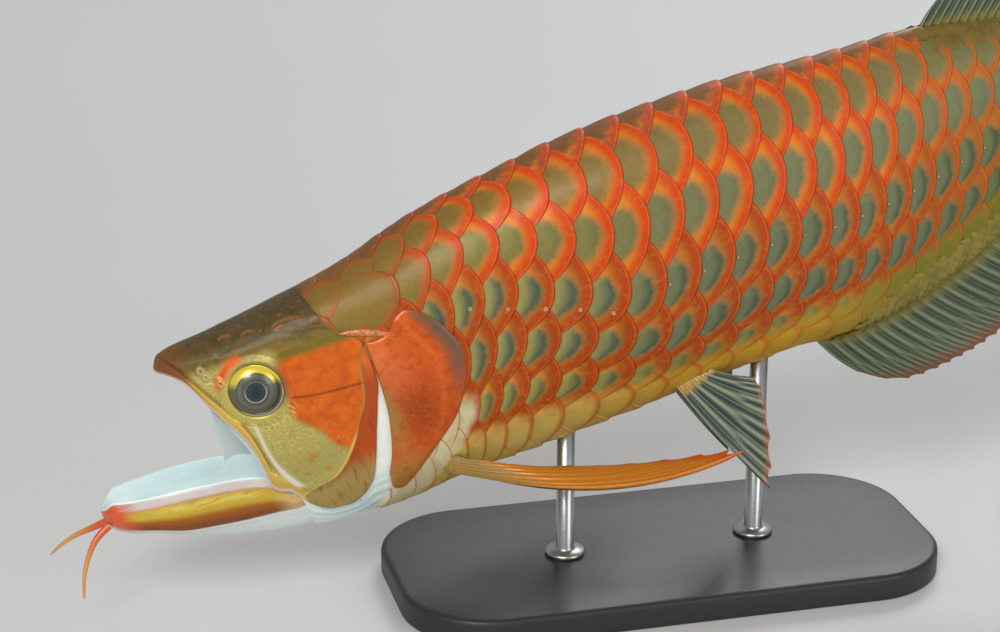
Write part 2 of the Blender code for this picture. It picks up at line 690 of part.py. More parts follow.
def jaw_ring(x):
    half = float(JAW_HALF_WIDTH(x))
    lip, edge = float(JAW_LIP(x)), float(JAW_EDGE(x))
    keel, floor = float(JAW_KEEL(x)), float(JAW_FLOOR(x))
    wall = min(2.6, 0.4 * half)
    flange = JAW_FLANGE * float(smoothstep(-43, -36, x) * (1 - smoothstep(26, 35, x)))
    half_ring = [(0, floor), (0.45 * (half - wall), floor + 0.1 * (lip - floor)),
                 (0.85 * (half - wall), floor + 0.45 * (lip - floor)), (half - wall, lip + 0.6 * flange),
                 (half - 0.7 * wall, lip + flange), (half - 0.25 * wall, lip + 0.3 * flange),
                 (half, lip - 0.15 * (lip - edge)), (half + 0.3, lip - 0.55 * (lip - edge)),
                 (half - 0.8, edge), (0.83 * half, edge + 0.22 * (keel - edge)),
                 (0.5 * half, edge + 0.72 * (keel - edge)), (0, keel)]
    near = [(x, -y, z) for y, z in half_ring]
    far = [(x, y, z) for y, z in half_ring[-2:0:-1]]
    return np.array(near + far)


def lower_jaw():
    stations = JAW_TIP_X + (JAW_REAR_X - JAW_TIP_X) * np.linspace(0, 1, 14) ** 1.35
    return loft("lower_jaw", [jaw_ring(x) for x in stations])


# Barbels: tapered feelers at the tip of the lower jaw
BARBEL_RADIUS = 1.8
BARBEL_ROUTES = {
    "barbel_left": ((-43.4, -3.2, -59.5), (-49, -5.5, -62), (-55.5, -8, -68.5), (-60, -10, -76),
                    (-63, -11, -84)),
    "barbel_right": ((-43.4, 3.2, -59.5), (-50, 5.5, -60.5), (-58, 8, -62), (-66, 10, -64.5),
                     (-73, 11.5, -68)),
}


def feeler(name, route):
    """A tapered tube, its root flat against the jaw."""
    curve = bpy.data.curves.new(name, "CURVE")
    curve.dimensions = "3D"
    curve.bevel_depth = BARBEL_RADIUS
    curve.bevel_resolution = 1
    curve.use_fill_caps = True
    spline = curve.splines.new("POLY")
    share = np.linspace(0, 1, len(route))
    columns = [smooth_table(*zip(share, column)) for column in zip(*route)]
    fine = np.linspace(0, 1, 10)
    spline.points.add(len(fine) - 1)
    for point, t in zip(spline.points, fine):
        point.co = (*(float(column(t)) for column in columns), 1.0)
        point.radius = 1.0 - 0.72 * t
    carrier = bpy.data.objects.new(name, curve)
    bpy.context.scene.collection.objects.link(carrier)
    mesh = bpy.data.meshes.new_from_object(carrier.evaluated_get(bpy.context.evaluated_depsgraph_get()))
    bm = bmesh.new()
    bm.from_mesh(mesh)
    bmesh.ops.remove_doubles(bm, verts=bm.verts, dist=1e-4)
    bmesh.ops.recalc_face_normals(bm, faces=bm.faces)
    bm.to_mesh(mesh)
    bm.free()
    bpy.data.objects.remove(carrier, do_unlink=True)
    made = bpy.data.objects.new(name, mesh)
    bpy.context.scene.collection.objects.link(made)
    return made


# Fins: each ray is a ridge raised in the membrane's own surface
def seated(point, lift):
    """The point of the near side's skin, raised by lift, that lies closest to a point."""
    samples = body_surface(point[0], ROW_SAMPLES)
    row = ROW_SAMPLES[np.argmin(np.linalg.norm(samples - point, axis=1))]
    return body_surface(point[0], row, lift)[0]


def fin(name, rays, rows, root, bend, tip, thickness, lift=None):
    """A closed fin. root, bend and tip give each ray's path, thickness its half thickness."""
    columns = 2 * rays - 1
    share = np.linspace(0, 1, columns)
    start, middle, end = (np.array([f(s) for s in share]) for f in (root, bend, tip))
    t = np.linspace(0, 1, rows)[None, :, None]
    sheet = ((1 - t) ** 2 * start[:, None] + 2 * t * (1 - t) * middle[:, None] + t * t * end[:, None])
    across, along = np.gradient(sheet, axis=0), np.gradient(sheet, axis=1)
    normal = np.cross(across, along)
    normal /= np.linalg.norm(normal, axis=2, keepdims=True)
    on_ray = (np.arange(columns) % 2 == 0)[:, None]
    half = thickness(share[:, None], t[:, :, 0], on_ray)[:, :, None]
    faces_of = [sheet + half * normal, sheet - half * normal]
    if lift is not None:
        for face in faces_of:
            face[:, 0] = [seated(point, lift) for point in face[:, 0]]
    points = np.vstack([face.reshape(-1, 3) for face in faces_of])
    count = columns * rows
    faces = []
    for c in range(columns - 1):
        for r in range(rows - 1):
            a, b = c * rows + r, (c + 1) * rows + r
            faces += [(a, b, b + 1), (a, b + 1, a + 1)]
            faces += [(a + count, b + 1 + count, b + count), (a + count, a + 1 + count, b + 1 + count)]
    rim = ([c * rows for c in range(columns)] + [(columns - 1) * rows + r for r in range(1, rows)]
           + [c * rows + rows - 1 for c in range(columns - 2, -1, -1)] + list(range(rows - 2, 0, -1)))
    for a, b in zip(rim, rim[1:] + rim[:1]):
        faces.append((a, b, b + count, a + count))
    return closed_mesh(name, points, faces)


def fin_thickness(root, edge, lead=0.0):
    """Half thickness: rays stand over the membrane and both thin towards the margin."""
    def value(share, t, on_ray):
        ray = root + (edge - root) * t
        web = 0.55 * root + (0.28 - 0.55 * root) * t
        leading = lead * (1 - 0.6 * t) * np.exp(-(share / 0.06) ** 2)
        return np.where(on_ray, ray, web) + leading
    return value


FIN_LIFT = 0.65       # a fin's root stands this far off the plain skin, clear of the low scales
PAIRED_LIFT = 0.75
DORSAL_BASE = (366.0, 442.0)
ANAL_BASE = (279.0, 440.0)
DORSAL_LENGTH = smooth_table((0, 17), (.05, 26), (.15, 36), (.4, 46), (.7, 52), (.9, 45), (1, 30))
DORSAL_ANGLE = smooth_table((0, 40), (.3, 38), (1, 24))
ANAL_LENGTH = smooth_table((0, 27), (.03, 37), (.08, 43), (.3, 46), (.5, 50), (.75, 55), (.92, 50), (1, 34))
ANAL_ANGLE = smooth_table((0, 60), (.1, 54), (.3, 49), (.6, 42), (1, 24))


def median_fin(name, rays, rows, base, length, angle, upward, thickness):
    """A fin on the midline. Its rays lean back, and their tips curve a little more."""
    def root(s):
        x = base[0] + (base[1] - base[0]) * s
        level = float(TOP(x)) + FIN_LIFT if upward > 0 else float(BOTTOM(x)) - FIN_LIFT
        return (x, 0, level)

    def at(s, reach, turn):
        x, _, z = root(s)
        lean = math.radians(float(angle(s)) + turn)
        size = reach * float(length(s))
        return (x + size * math.cos(lean), 0, z + upward * size * math.sin(lean))
    return fin(name, rays, rows, root, lambda s: at(s, 0.5, 7), lambda s: at(s, 1.0, -3), thickness)


def caudal_fin():
    top, bottom = float(TOP(BODY_LENGTH)), float(BOTTOM(BODY_LENGTH))

    def at(s, reach):
        spread = 1 - 2 * s
        lean = math.radians(26 * spread - 4)
        size = reach * (76 - 15 * abs(spread) ** 3)
        z = (top + bottom) / 2 + spread * ((top - bottom) / 2 - 1.5)
        return (BODY_LENGTH - 1 + GAP + size * math.cos(lean), 0, z + size * math.sin(lean) * 1.15)
    return fin("caudal_fin", 16, 5, lambda s: at(s, 0.0), lambda s: at(s, 0.5), lambda s: at(s, 1.0),
               fin_thickness(1.3, 0.4))


PELVIC_TIPS = ((232, -28, -146), (236, -26, -137), (240, -24, -124), (243, -21, -112), (244, -18, -103),
               (243, -16, -98))


def pelvic_fin():
    tips = [smooth_table(*zip(np.linspace(0, 1, len(PELVIC_TIPS)), column)) for column in zip(*PELVIC_TIPS)]

    def root(s):
        return body_surface(210 + 17 * s, 6.25 - 0.25 * s, PAIRED_LIFT)[0]

    def tip(s):
        return np.array([float(column(s)) for column in tips])

    def bend(s):
        away = np.array([-1.5 + 2 * s, -2.5, -2.0])
        return (np.array(root(s)) + tip(s)) / 2 + away * (1 - 0.4 * s)
    return fin("pelvic_fin", 6, 6, root, bend, tip, fin_thickness(0.85, 0.42, 0.5), PAIRED_LIFT)


PECTORAL_LEAD = ((101, -20.5, -85), (160, -62, -114), (215, -76, -102))
PECTORAL_REACH = smooth_table((0, 1.0), (.17, .95), (.35, .84), (.55, .69), (.8, .52), (1, .40))
PECTORAL_INWARD = smooth_table((0, 0), (.17, 6), (.35, 12), (.55, 17), (.8, 20), (1, 21))


def pectoral_fin():
    lead = np.array(PECTORAL_LEAD, float)

    def root(s):
        return skin(101.5 + 6.0 * s, -84.0 + 5.5 * s, PAIRED_LIFT)[0]

    def tip(s):
        reach = float(PECTORAL_REACH(s))
        along = (1 - reach) ** 2 * lead[0] + 2 * reach * (1 - reach) * lead[1] + reach ** 2 * lead[2]
        return along + np.array([0.2, 1.0, 0.12]) * float(PECTORAL_INWARD(s))

    def bend(s):
        reach = float(PECTORAL_REACH(s))
        mid = (1 - reach) * lead[0] + reach * lead[1]
        return mid + np.array([0.1, 0.45, 0.25]) * float(PECTORAL_INWARD(s))
    return fin("pectoral_fin", 7, 9, root, bend, tip, fin_thickness(1.0, 0.42, 1.1), PAIRED_LIFT)


# Stand
def stand_base():
    """A flat board with round ends, turned to lie along the fish."""
    curve = bpy.data.curves.new("base", "CURVE")
    curve.dimensions = "2D"
    curve.fill_mode = "BOTH"
    curve.extrude = BASE_THICKNESS / 2 * MM
    spline = curve.splines.new("POLY")
    steps = 10
    corner = 0.34 * BASE_WIDTH
    outline = []
    for k in range(4 * steps):
        quarter = k // steps
        turn = math.radians(90 * (quarter + (k % steps) / (steps - 1)))
        cx = (BASE_LENGTH / 2 - corner) * (1 if quarter in (0, 3) else -1)
        cy = (BASE_WIDTH / 2 - corner) * (1 if quarter in (0, 1) else -1)
        outline.append((cx + corner * math.cos(turn), cy + corner * math.sin(turn)))
    spline.points.add(len(outline) - 1)
    for point, (x, y) in zip(spline.points, outline):
        point.co = (x * MM, y * MM, 0, 1)
    spline.use_cyclic_u = True
    carrier = bpy.data.objects.new("base", curve)
    bpy.context.scene.collection.objects.link(carrier)
    mesh = bpy.data.meshes.new_from_object(carrier.evaluated_get(bpy.context.evaluated_depsgraph_get()))
    bm = bmesh.new()
    bm.from_mesh(mesh)
    bmesh.ops.remove_doubles(bm, verts=bm.verts, dist=1e-6)
    bmesh.ops.recalc_face_normals(bm, faces=bm.faces)
    bm.to_mesh(mesh)
    bm.free()
    bpy.data.objects.remove(carrier, do_unlink=True)
    mesh.transform(Matrix.Translation((0, 0, BASE_THICKNESS / 2 * MM)) @ Matrix.Rotation(BASE_HEADING, 4, "Z"))
    made = bpy.data.objects.new("stand_base", mesh)
    bpy.context.scene.collection.objects.link(made)
    return made


def upright(name, station, radius, low, socket):
    """A vertical rod from a height over the floor into the belly, in the part's frame."""
    top = (belly_point(station) - ORIGIN) * MM + np.array([0, 0, socket * MM])
    height = top[2] - low * MM
    bm = bmesh.new()
    bmesh.ops.create_cone(bm, cap_ends=True, segments=24, radius1=radius * MM, radius2=radius * MM,
                          depth=height, matrix=Matrix.Translation((top[0], top[1], top[2] - height / 2)))
    mesh = bpy.data.meshes.new(name)
    bm.to_mesh(mesh)
    bm.free()
    made = bpy.data.objects.new(name, mesh)
    bpy.context.scene.collection.objects.link(made)
    return made


def build():
    clear_scene()
    parts = new_collection("asian_arowana")
    cutters = new_collection("cutters")
    scale_red = material("scale_red", (0.62, 0.17, 0.03), 0.32, 0.25)
    head_gold = material("head_gold", (0.48, 0.20, 0.05), 0.35, 0.25)
    cover_red = material("cover_red", (0.66, 0.15, 0.03), 0.32, 0.25)
    pale_skin = material("pale_skin", (0.72, 0.78, 0.76), 0.45)
    eye_dark = material("eye_dark", (0.05, 0.10, 0.11), 0.08)
    fin_grey = material("fin_grey", (0.33, 0.40, 0.36), 0.40)
    fin_amber = material("fin_amber", (0.62, 0.32, 0.07), 0.38)
    stand_black = material("stand_black", (0.03, 0.03, 0.035), 0.45)
    steel = material("stand_steel", (0.6, 0.6, 0.6), 0.3, 1.0)

    left_cover = gill_cover()
    hollows = [gill_hollow()]
    hollows.append(mirrored(hollows[0]))

    torso = scaled_body()
    tail = bpy.data.objects.new("tail", torso.data.copy())
    bpy.context.scene.collection.objects.link(tail)
    subtract(tail, [slab("before_tail", -20, TORSO_END_X + GAP)])
    subtract(torso, [slab("after_torso", TORSO_END_X, 700), head_space(), *hollows])
    keep_largest(torso)
    keep_largest(tail)

    skull = head()
    sockets = [eye(GAP)]
    sockets.append(mirrored(sockets[0]))
    nostrils = nostril_cutters()
    nostrils += [mirrored(n) for n in nostrils]
    subtract(skull, sockets + nostrils)
    keep_largest(skull)

    finish(skull, "head", head_gold, parts)
    torso = finish(torso, "torso", scale_red, parts)
    finish(tail, "tail", scale_red, parts)
    finish(lower_jaw(), "lower_jaw", head_gold, parts)
    finish(throat(), "throat", pale_skin, parts)
    finish(mirrored(left_cover), "gill_cover_right", cover_red, parts)
    finish(left_cover, "gill_cover_left", cover_red, parts)
    left_eye = eye()
    finish(mirrored(left_eye), "eye_right", eye_dark, parts)
    finish(left_eye, "eye_left", eye_dark, parts)
    for name, route in BARBEL_ROUTES.items():
        finish(feeler(name, route), name, fin_amber, parts)
    for maker, name, look in ((pectoral_fin, "pectoral_fin", fin_amber), (pelvic_fin, "pelvic_fin", fin_grey)):
        left = maker()
        finish(mirrored(left), name + "_right", look, parts)
        finish(left, name + "_left", look, parts)
    finish(median_fin("dorsal_fin", 19, 4, DORSAL_BASE, DORSAL_LENGTH, DORSAL_ANGLE, 1,
                      fin_thickness(1.15, 0.38)), "dorsal_fin", fin_grey, parts)
    finish(median_fin("anal_fin", 27, 4, ANAL_BASE, ANAL_LENGTH, ANAL_ANGLE, -1,
                      fin_thickness(1.15, 0.38)), "anal_fin", fin_grey, parts)
    finish(caudal_fin(), "caudal_fin", fin_grey, parts)

    finish(stand_base(), "stand_base", stand_black, parts, fish=False)
    for name, station in ROD_STATIONS.items():
        rod = upright(name, station, ROD_RADIUS, BASE_THICKNESS + GAP, ROD_SOCKET_DEPTH)
        finish(rod, name, steel, parts, fish=False)
        bore = upright(name + "_bore", station, ROD_RADIUS + GAP, BASE_THICKNESS, ROD_SOCKET_DEPTH + GAP)
        bore.hide_render = True
        bore.display_type = "WIRE"
        bpy.context.scene.collection.objects.unlink(bore)
        cutters.objects.link(bore)
        modifier = torso.modifiers.new(name, "BOOLEAN")
        modifier.operation = "DIFFERENCE"
        modifier.object = bore


build()
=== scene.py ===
# Looks of the asian arowana model: one scaled skin over the flesh nodes, eyes, fins, barbels and stand.
# The fish is worked out straight, in millimetres, as in the part's source: x runs from the snout to
# the tail, the fish's left side is at -y, z is up. posed() then bends it into the model's frame.
import math

import bmesh
import bpy
import numpy as np
from mathutils import Matrix, Vector


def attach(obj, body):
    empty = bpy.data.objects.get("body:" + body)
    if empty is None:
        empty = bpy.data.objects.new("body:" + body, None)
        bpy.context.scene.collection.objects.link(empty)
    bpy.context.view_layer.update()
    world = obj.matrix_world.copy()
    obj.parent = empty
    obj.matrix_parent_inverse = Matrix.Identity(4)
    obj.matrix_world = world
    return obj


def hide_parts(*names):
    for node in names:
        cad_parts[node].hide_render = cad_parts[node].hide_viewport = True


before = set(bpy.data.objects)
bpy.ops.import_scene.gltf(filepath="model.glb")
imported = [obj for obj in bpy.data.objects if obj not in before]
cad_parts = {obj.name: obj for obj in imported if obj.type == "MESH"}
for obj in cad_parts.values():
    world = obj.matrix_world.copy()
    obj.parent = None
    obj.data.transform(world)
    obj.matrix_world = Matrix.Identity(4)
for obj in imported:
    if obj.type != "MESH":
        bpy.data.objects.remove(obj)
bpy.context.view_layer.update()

MM = 0.001
BODY_LENGTH = 480.0
PITCH = math.radians(18.0)
HEADING_FRONT = 10.0
HEADING_RISE = 10.0
TAIL_BEND = 56.0
TAIL_BEND_START = 0.6
BASE_LENGTH = 250.0
BASE_WIDTH = 118.0
BASE_THICKNESS = 12.0
BASE_TOP_BELOW_SNOUT = 102.0
ROD_RADIUS = 4.0
ROD_STATIONS = {"stand_rod_front": 158.0, "stand_rod_rear": 252.0}
ROWS = 14
FIRST_SCALE_X = 78.0


# Shape of the fish
def smooth_table(*pairs):
    """Return a smooth function through (station, value) pairs that never overshoots them."""
    s, v = np.array(pairs, float).T
    h = np.diff(s)
    d = np.diff(v) / h
    slope = np.zeros_like(v)
    same_way = d[1:] * d[:-1] > 0
    w1, w2 = 2 * h[1:] + h[:-1], h[1:] + 2 * h[:-1]
    d0, d1 = np.where(same_way, d[:-1], 1.0), np.where(same_way, d[1:], 1.0)
    slope[1:-1] = np.where(same_way, (w1 + w2) / (w1 / d0 + w2 / d1), 0.0)
    slope[0], slope[-1] = d[0], d[-1]

    def value(x):
        x = np.clip(x, s[0], s[-1])
        k = np.clip(np.searchsorted(s, x, side="right") - 1, 0, len(h) - 1)
        t = (x - s[k]) / h[k]
        return (v[k] * (1 + 2 * t) * (1 - t) ** 2 + v[k + 1] * t * t * (3 - 2 * t)
                + h[k] * (slope[k] * t * (1 - t) ** 2 - slope[k + 1] * t * t * (1 - t)))
    return value


def smoothstep(low, high, x):
    t = np.clip((np.asarray(x, float) - low) / (high - low), 0, 1)
    return t * t * (3 - 2 * t)


TOP = smooth_table((0, 0), (2, 3.4), (6, 5.4), (12, 6.2), (24, 6.7), (36, 7.7), (48, 8.9), (60, 10.3),
                   (72, 11.5), (84, 13.4), (96, 15.9), (108, 19.2), (120, 22.3), (144, 26.4),
                   (168, 29.0), (192, 31.2), (216, 31.7), (240, 31.2), (264, 30.0), (288, 27.6),
                   (312, 24.4), (336, 21.6), (360, 19.6), (394, 10.5), (430, 1.0), (460, -5.5),
                   (480, -7.0))
BOTTOM = smooth_table((-5, -30), (10, -60), (24, -84), (36, -91.5), (48, -94.5), (60, -95.5),
                      (84, -96.5), (110, -95), (140, -95.5), (200, -96.5), (250, -97.2),
                      (268, -98.0), (279, -100), (298, -103), (318, -102), (345, -97),
                      (370, -89.5), (400, -74), (430, -59), (450, -50), (465, -47), (480, -46.5))
HALF_WIDTH = smooth_table((0, 4.5), (3, 9), (8, 12.5), (15, 15.2), (25, 18.2), (36, 20.6), (48, 22.4),
                          (60, 23.7), (72, 24.8), (85, 25.8), (100, 26.6), (120, 27.4), (160, 28.2),
                          (205, 28.5), (240, 27.8), (280, 25.5), (320, 21.5), (360, 17), (400, 12.5),
                          (430, 9.3), (460, 7), (480, 6))
HEAD_DEPTHS = np.array([0, .045, .16, .33, .53, .73, .89, 1])
HEAD_WIDTHS = np.array([0, .64, .90, 1.0, 1.0, .94, .70, 0])
SHOULDER_DEPTHS = np.array([0, .035, .138, .318, .519, .703, .86, 1])
SHOULDER_WIDTHS = np.array([0, .42, .80, .985, 1.0, .91, .66, 0])
MIDDLE_DEPTHS = np.array([0, .115, .318, .544, .723, .848, .935, 1])
MIDDLE_WIDTHS = np.array([0, .76, .985, 1.0, .89, .68, .42, 0])


def ring_slope_matrix():
    eye = np.eye(ROWS)
    left, right = np.roll(eye, -1, axis=1), np.roll(eye, 1, axis=1)
    return np.linalg.solve(4 * eye + left + right, 3 * (right - left))


RING_SLOPES = ring_slope_matrix()


def ring_value(controls, slopes, row):
    """Value at a row coordinate of the closed spline through controls, one line for each point."""
    row = np.mod(row, ROWS)
    k = np.minimum(row.astype(int), ROWS - 1)
    t = row - k
    n = np.arange(len(row))
    k1 = (k + 1) % ROWS
    return (controls[n, k] * (1 + 2 * t) * (1 - t) ** 2 + controls[n, k1] * t * t * (3 - 2 * t)
            + slopes[n, k] * t * (1 - t) ** 2 - slopes[n, k1] * t * t * (1 - t))


def section_controls(x):
    """Distance to the side and height of the section's rows at each x."""
    to_shoulder = smoothstep(58, 125, x)[:, None]
    to_middle = smoothstep(128, 212, x)[:, None]
    widths = HEAD_WIDTHS + (SHOULDER_WIDTHS - HEAD_WIDTHS) * to_shoulder
    widths = widths + (MIDDLE_WIDTHS - widths) * to_middle
    depths = HEAD_DEPTHS + (SHOULDER_DEPTHS - HEAD_DEPTHS) * to_shoulder
    depths = depths + (MIDDLE_DEPTHS - depths) * to_middle
    top, bottom, half = TOP(x)[:, None], BOTTOM(x)[:, None], HALF_WIDTH(x)[:, None]
    side = -half * widths
    height = top + (bottom - top) * depths
    return np.hstack([side, -side[:, 6:0:-1]]), np.hstack([height, height[:, 6:0:-1]])


def body_surface(x, row, lift=0.0):
    """Points of the body's skin at x and a row coordinate, raised along the section's normal."""
    x, row, lift = np.broadcast_arrays(np.asarray(x, float), row, lift)
    shape = x.shape
    x, row, lift = x.ravel(), row.ravel().astype(float), lift.ravel()
    side, height = section_controls(x)
    side_slopes, height_slopes = side @ RING_SLOPES.T, height @ RING_SLOPES.T
    step = 0.03
    y, z = ring_value(side, side_slopes, row), ring_value(height, height_slopes, row)
    dy = ring_value(side, side_slopes, row + step) - ring_value(side, side_slopes, row - step)
    dz = ring_value(height, height_slopes, row + step) - ring_value(height, height_slopes, row - step)
    size = np.hypot(dy, dz)
    return np.stack([x, y + lift * dz / size, z - lift * dy / size], axis=1).reshape(*shape, 3)


ROW_SAMPLES = np.linspace(0.02, 6.98, 175)
LEVEL_BATCH = 3000


def row_at(x, z):
    """Row coordinate, on the near side, of the skin at x and height z."""
    x, z = np.broadcast_arrays(np.asarray(x, float), z)
    shape, x, z = x.shape, x.ravel(), z.ravel()
    k = ROW_SAMPLES.astype(int)
    t = ROW_SAMPLES - k
    found = np.empty(len(x))
    for start in range(0, len(x), LEVEL_BATCH):
        batch = slice(start, start + LEVEL_BATCH)
        height = section_controls(x[batch])[1]
        slopes = height @ RING_SLOPES.T
        levels = (height[:, k] * (1 + 2 * t) * (1 - t) ** 2 + height[:, k + 1] * t * t * (3 - 2 * t)
                  + slopes[:, k] * t * (1 - t) ** 2 - slopes[:, k + 1] * t * t * (1 - t))
        after = np.clip((levels > z[batch, None]).sum(axis=1), 1, len(ROW_SAMPLES) - 1)
        n = np.arange(len(after))
        above, below = levels[n, after - 1], levels[n, after]
        share = np.clip((above - z[batch]) / (above - below), 0, 1)
        found[batch] = ROW_SAMPLES[after - 1] + share * (ROW_SAMPLES[1] - ROW_SAMPLES[0])
    return found.reshape(shape)


def skin(x, z, lift=0.0):
    """Points of the near side's skin at x and about height z."""
    return body_surface(x, row_at(x, z), lift)


def centre_line():
    """The bent centre line, as stations along the fish and their two plan coordinates."""
    stations = np.linspace(-100, 640, 1481)
    u = stations / BODY_LENGTH
    bend = TAIL_BEND * np.clip(u - TAIL_BEND_START, 0, None) ** 2
    heading = np.radians(HEADING_FRONT + HEADING_RISE * u + bend)
    step = stations[1] - stations[0]
    plan_x = np.concatenate([[0], np.cumsum(np.cos(heading[1:] / 2 + heading[:-1] / 2))]) * step
    plan_y = np.concatenate([[0], np.cumsum(np.sin(heading[1:] / 2 + heading[:-1] / 2))]) * step
    snout = np.searchsorted(stations, 0.0)
    return stations, heading, plan_x - plan_x[snout], plan_y - plan_y[snout]


STATIONS, HEADINGS, PLAN_X, PLAN_Y = centre_line()


def bent(points):
    """Bend points along the centre line, in plan, and pitch the fish's nose down."""
    points = np.asarray(points, float)
    x, y, z = points[..., 0], points[..., 1], points[..., 2]
    heading = np.interp(x, STATIONS, HEADINGS)
    along = np.interp(x, STATIONS, PLAN_X) - y * np.sin(heading)
    across = np.interp(x, STATIONS, PLAN_Y) + y * np.cos(heading)
    return np.stack([along * math.cos(PITCH) - z * math.sin(PITCH), across,
                     along * math.sin(PITCH) + z * math.cos(PITCH)], axis=-1)


def belly_point(station):
    return bent(body_surface(np.array([station]), 7.0))[0]


BASE_CENTRE = sum(belly_point(s) for s in ROD_STATIONS.values()) / len(ROD_STATIONS)
BASE_HEADING = float(np.interp(sum(ROD_STATIONS.values()) / 2, STATIONS, HEADINGS))
ORIGIN = np.array([BASE_CENTRE[0], BASE_CENTRE[1], -BASE_TOP_BELOW_SNOUT - BASE_THICKNESS])


def posed(points):
    """Straight-fish millimetres to metres in the model's frame."""
    return (bent(points) - ORIGIN) * MM


def side_curve(*points):
    """Smooth side-view curve through points, by its share of the points' chord length."""
    points = np.array(points, float)
    share = np.concatenate([[0], np.cumsum(np.hypot(*np.diff(points, axis=0).T))])
    share = share / share[-1]
    x, z = (smooth_table(*zip(share, column)) for column in points.T)
    return lambda t: np.stack([x(t), z(t)], axis=-1)


def line_distance(x, z, points):
    """Distance from places in side view to a line of points."""
    best = np.full(np.shape(x), 1e9)
    for (x0, z0), (x1, z1) in zip(points[:-1], points[1:]):
        dx, dz = x1 - x0, z1 - z0
        t = np.clip(((x - x0) * dx + (z - z0) * dz) / (dx * dx + dz * dz), 0, 1)
        best = np.minimum(best, np.hypot(x - x0 - t * dx, z - z0 - t * dz))
    return best


def depth_inside(x, z, outline):
    """Distance in side view from a closed outline, positive inside it."""
    inside = np.zeros(np.shape(x), bool)
    for (x0, z0), (x1, z1) in zip(outline, np.roll(outline, -1, axis=0)):
        crosses = (z0 > z) != (z1 > z)
        span = z1 - z0 if z1 != z0 else 1e-9
        inside ^= crosses & (x < x0 + (z - z0) * (x1 - x0) / span)
    distance = line_distance(x, z, np.vstack([outline, outline[:1]]))
    return np.where(inside, distance, -distance)


def ridge(distance, width):
    return np.exp(-(distance / width) ** 2)


# A mesh is gathered from grids of straight-fish points. Every point also carries what the finishes read:
# fish is its straight place;
# scale is its place across and ahead of the free edge of its scale and a number for the scale, or on a
#   fin its place between two rays and along them, or its share of a barbel's length;
# zone is the row round the body, on the head the distance from the lip, on a gill cover the share from
#   the middle to the rim and the depth inside the bone, and on the jaw the place round its section.
#   Two forms carry a mark there instead.
CHANNELS = ("fish", "scale", "zone")
FAR_FROM_LIP = 30.0
FOLD_MARK = 300.0       # second number of the fold over the gill cover
CORNER_MARK = 3.0       # third number of the folds in the corners of the mouth


def circle(steps):
    """Angles once round, without the last."""
    return np.linspace(0, 2 * math.pi, steps + 1)[:-1]


def linked(name, data):
    made = bpy.data.objects.new(name, data)
    bpy.context.scene.collection.objects.link(made)
    return made


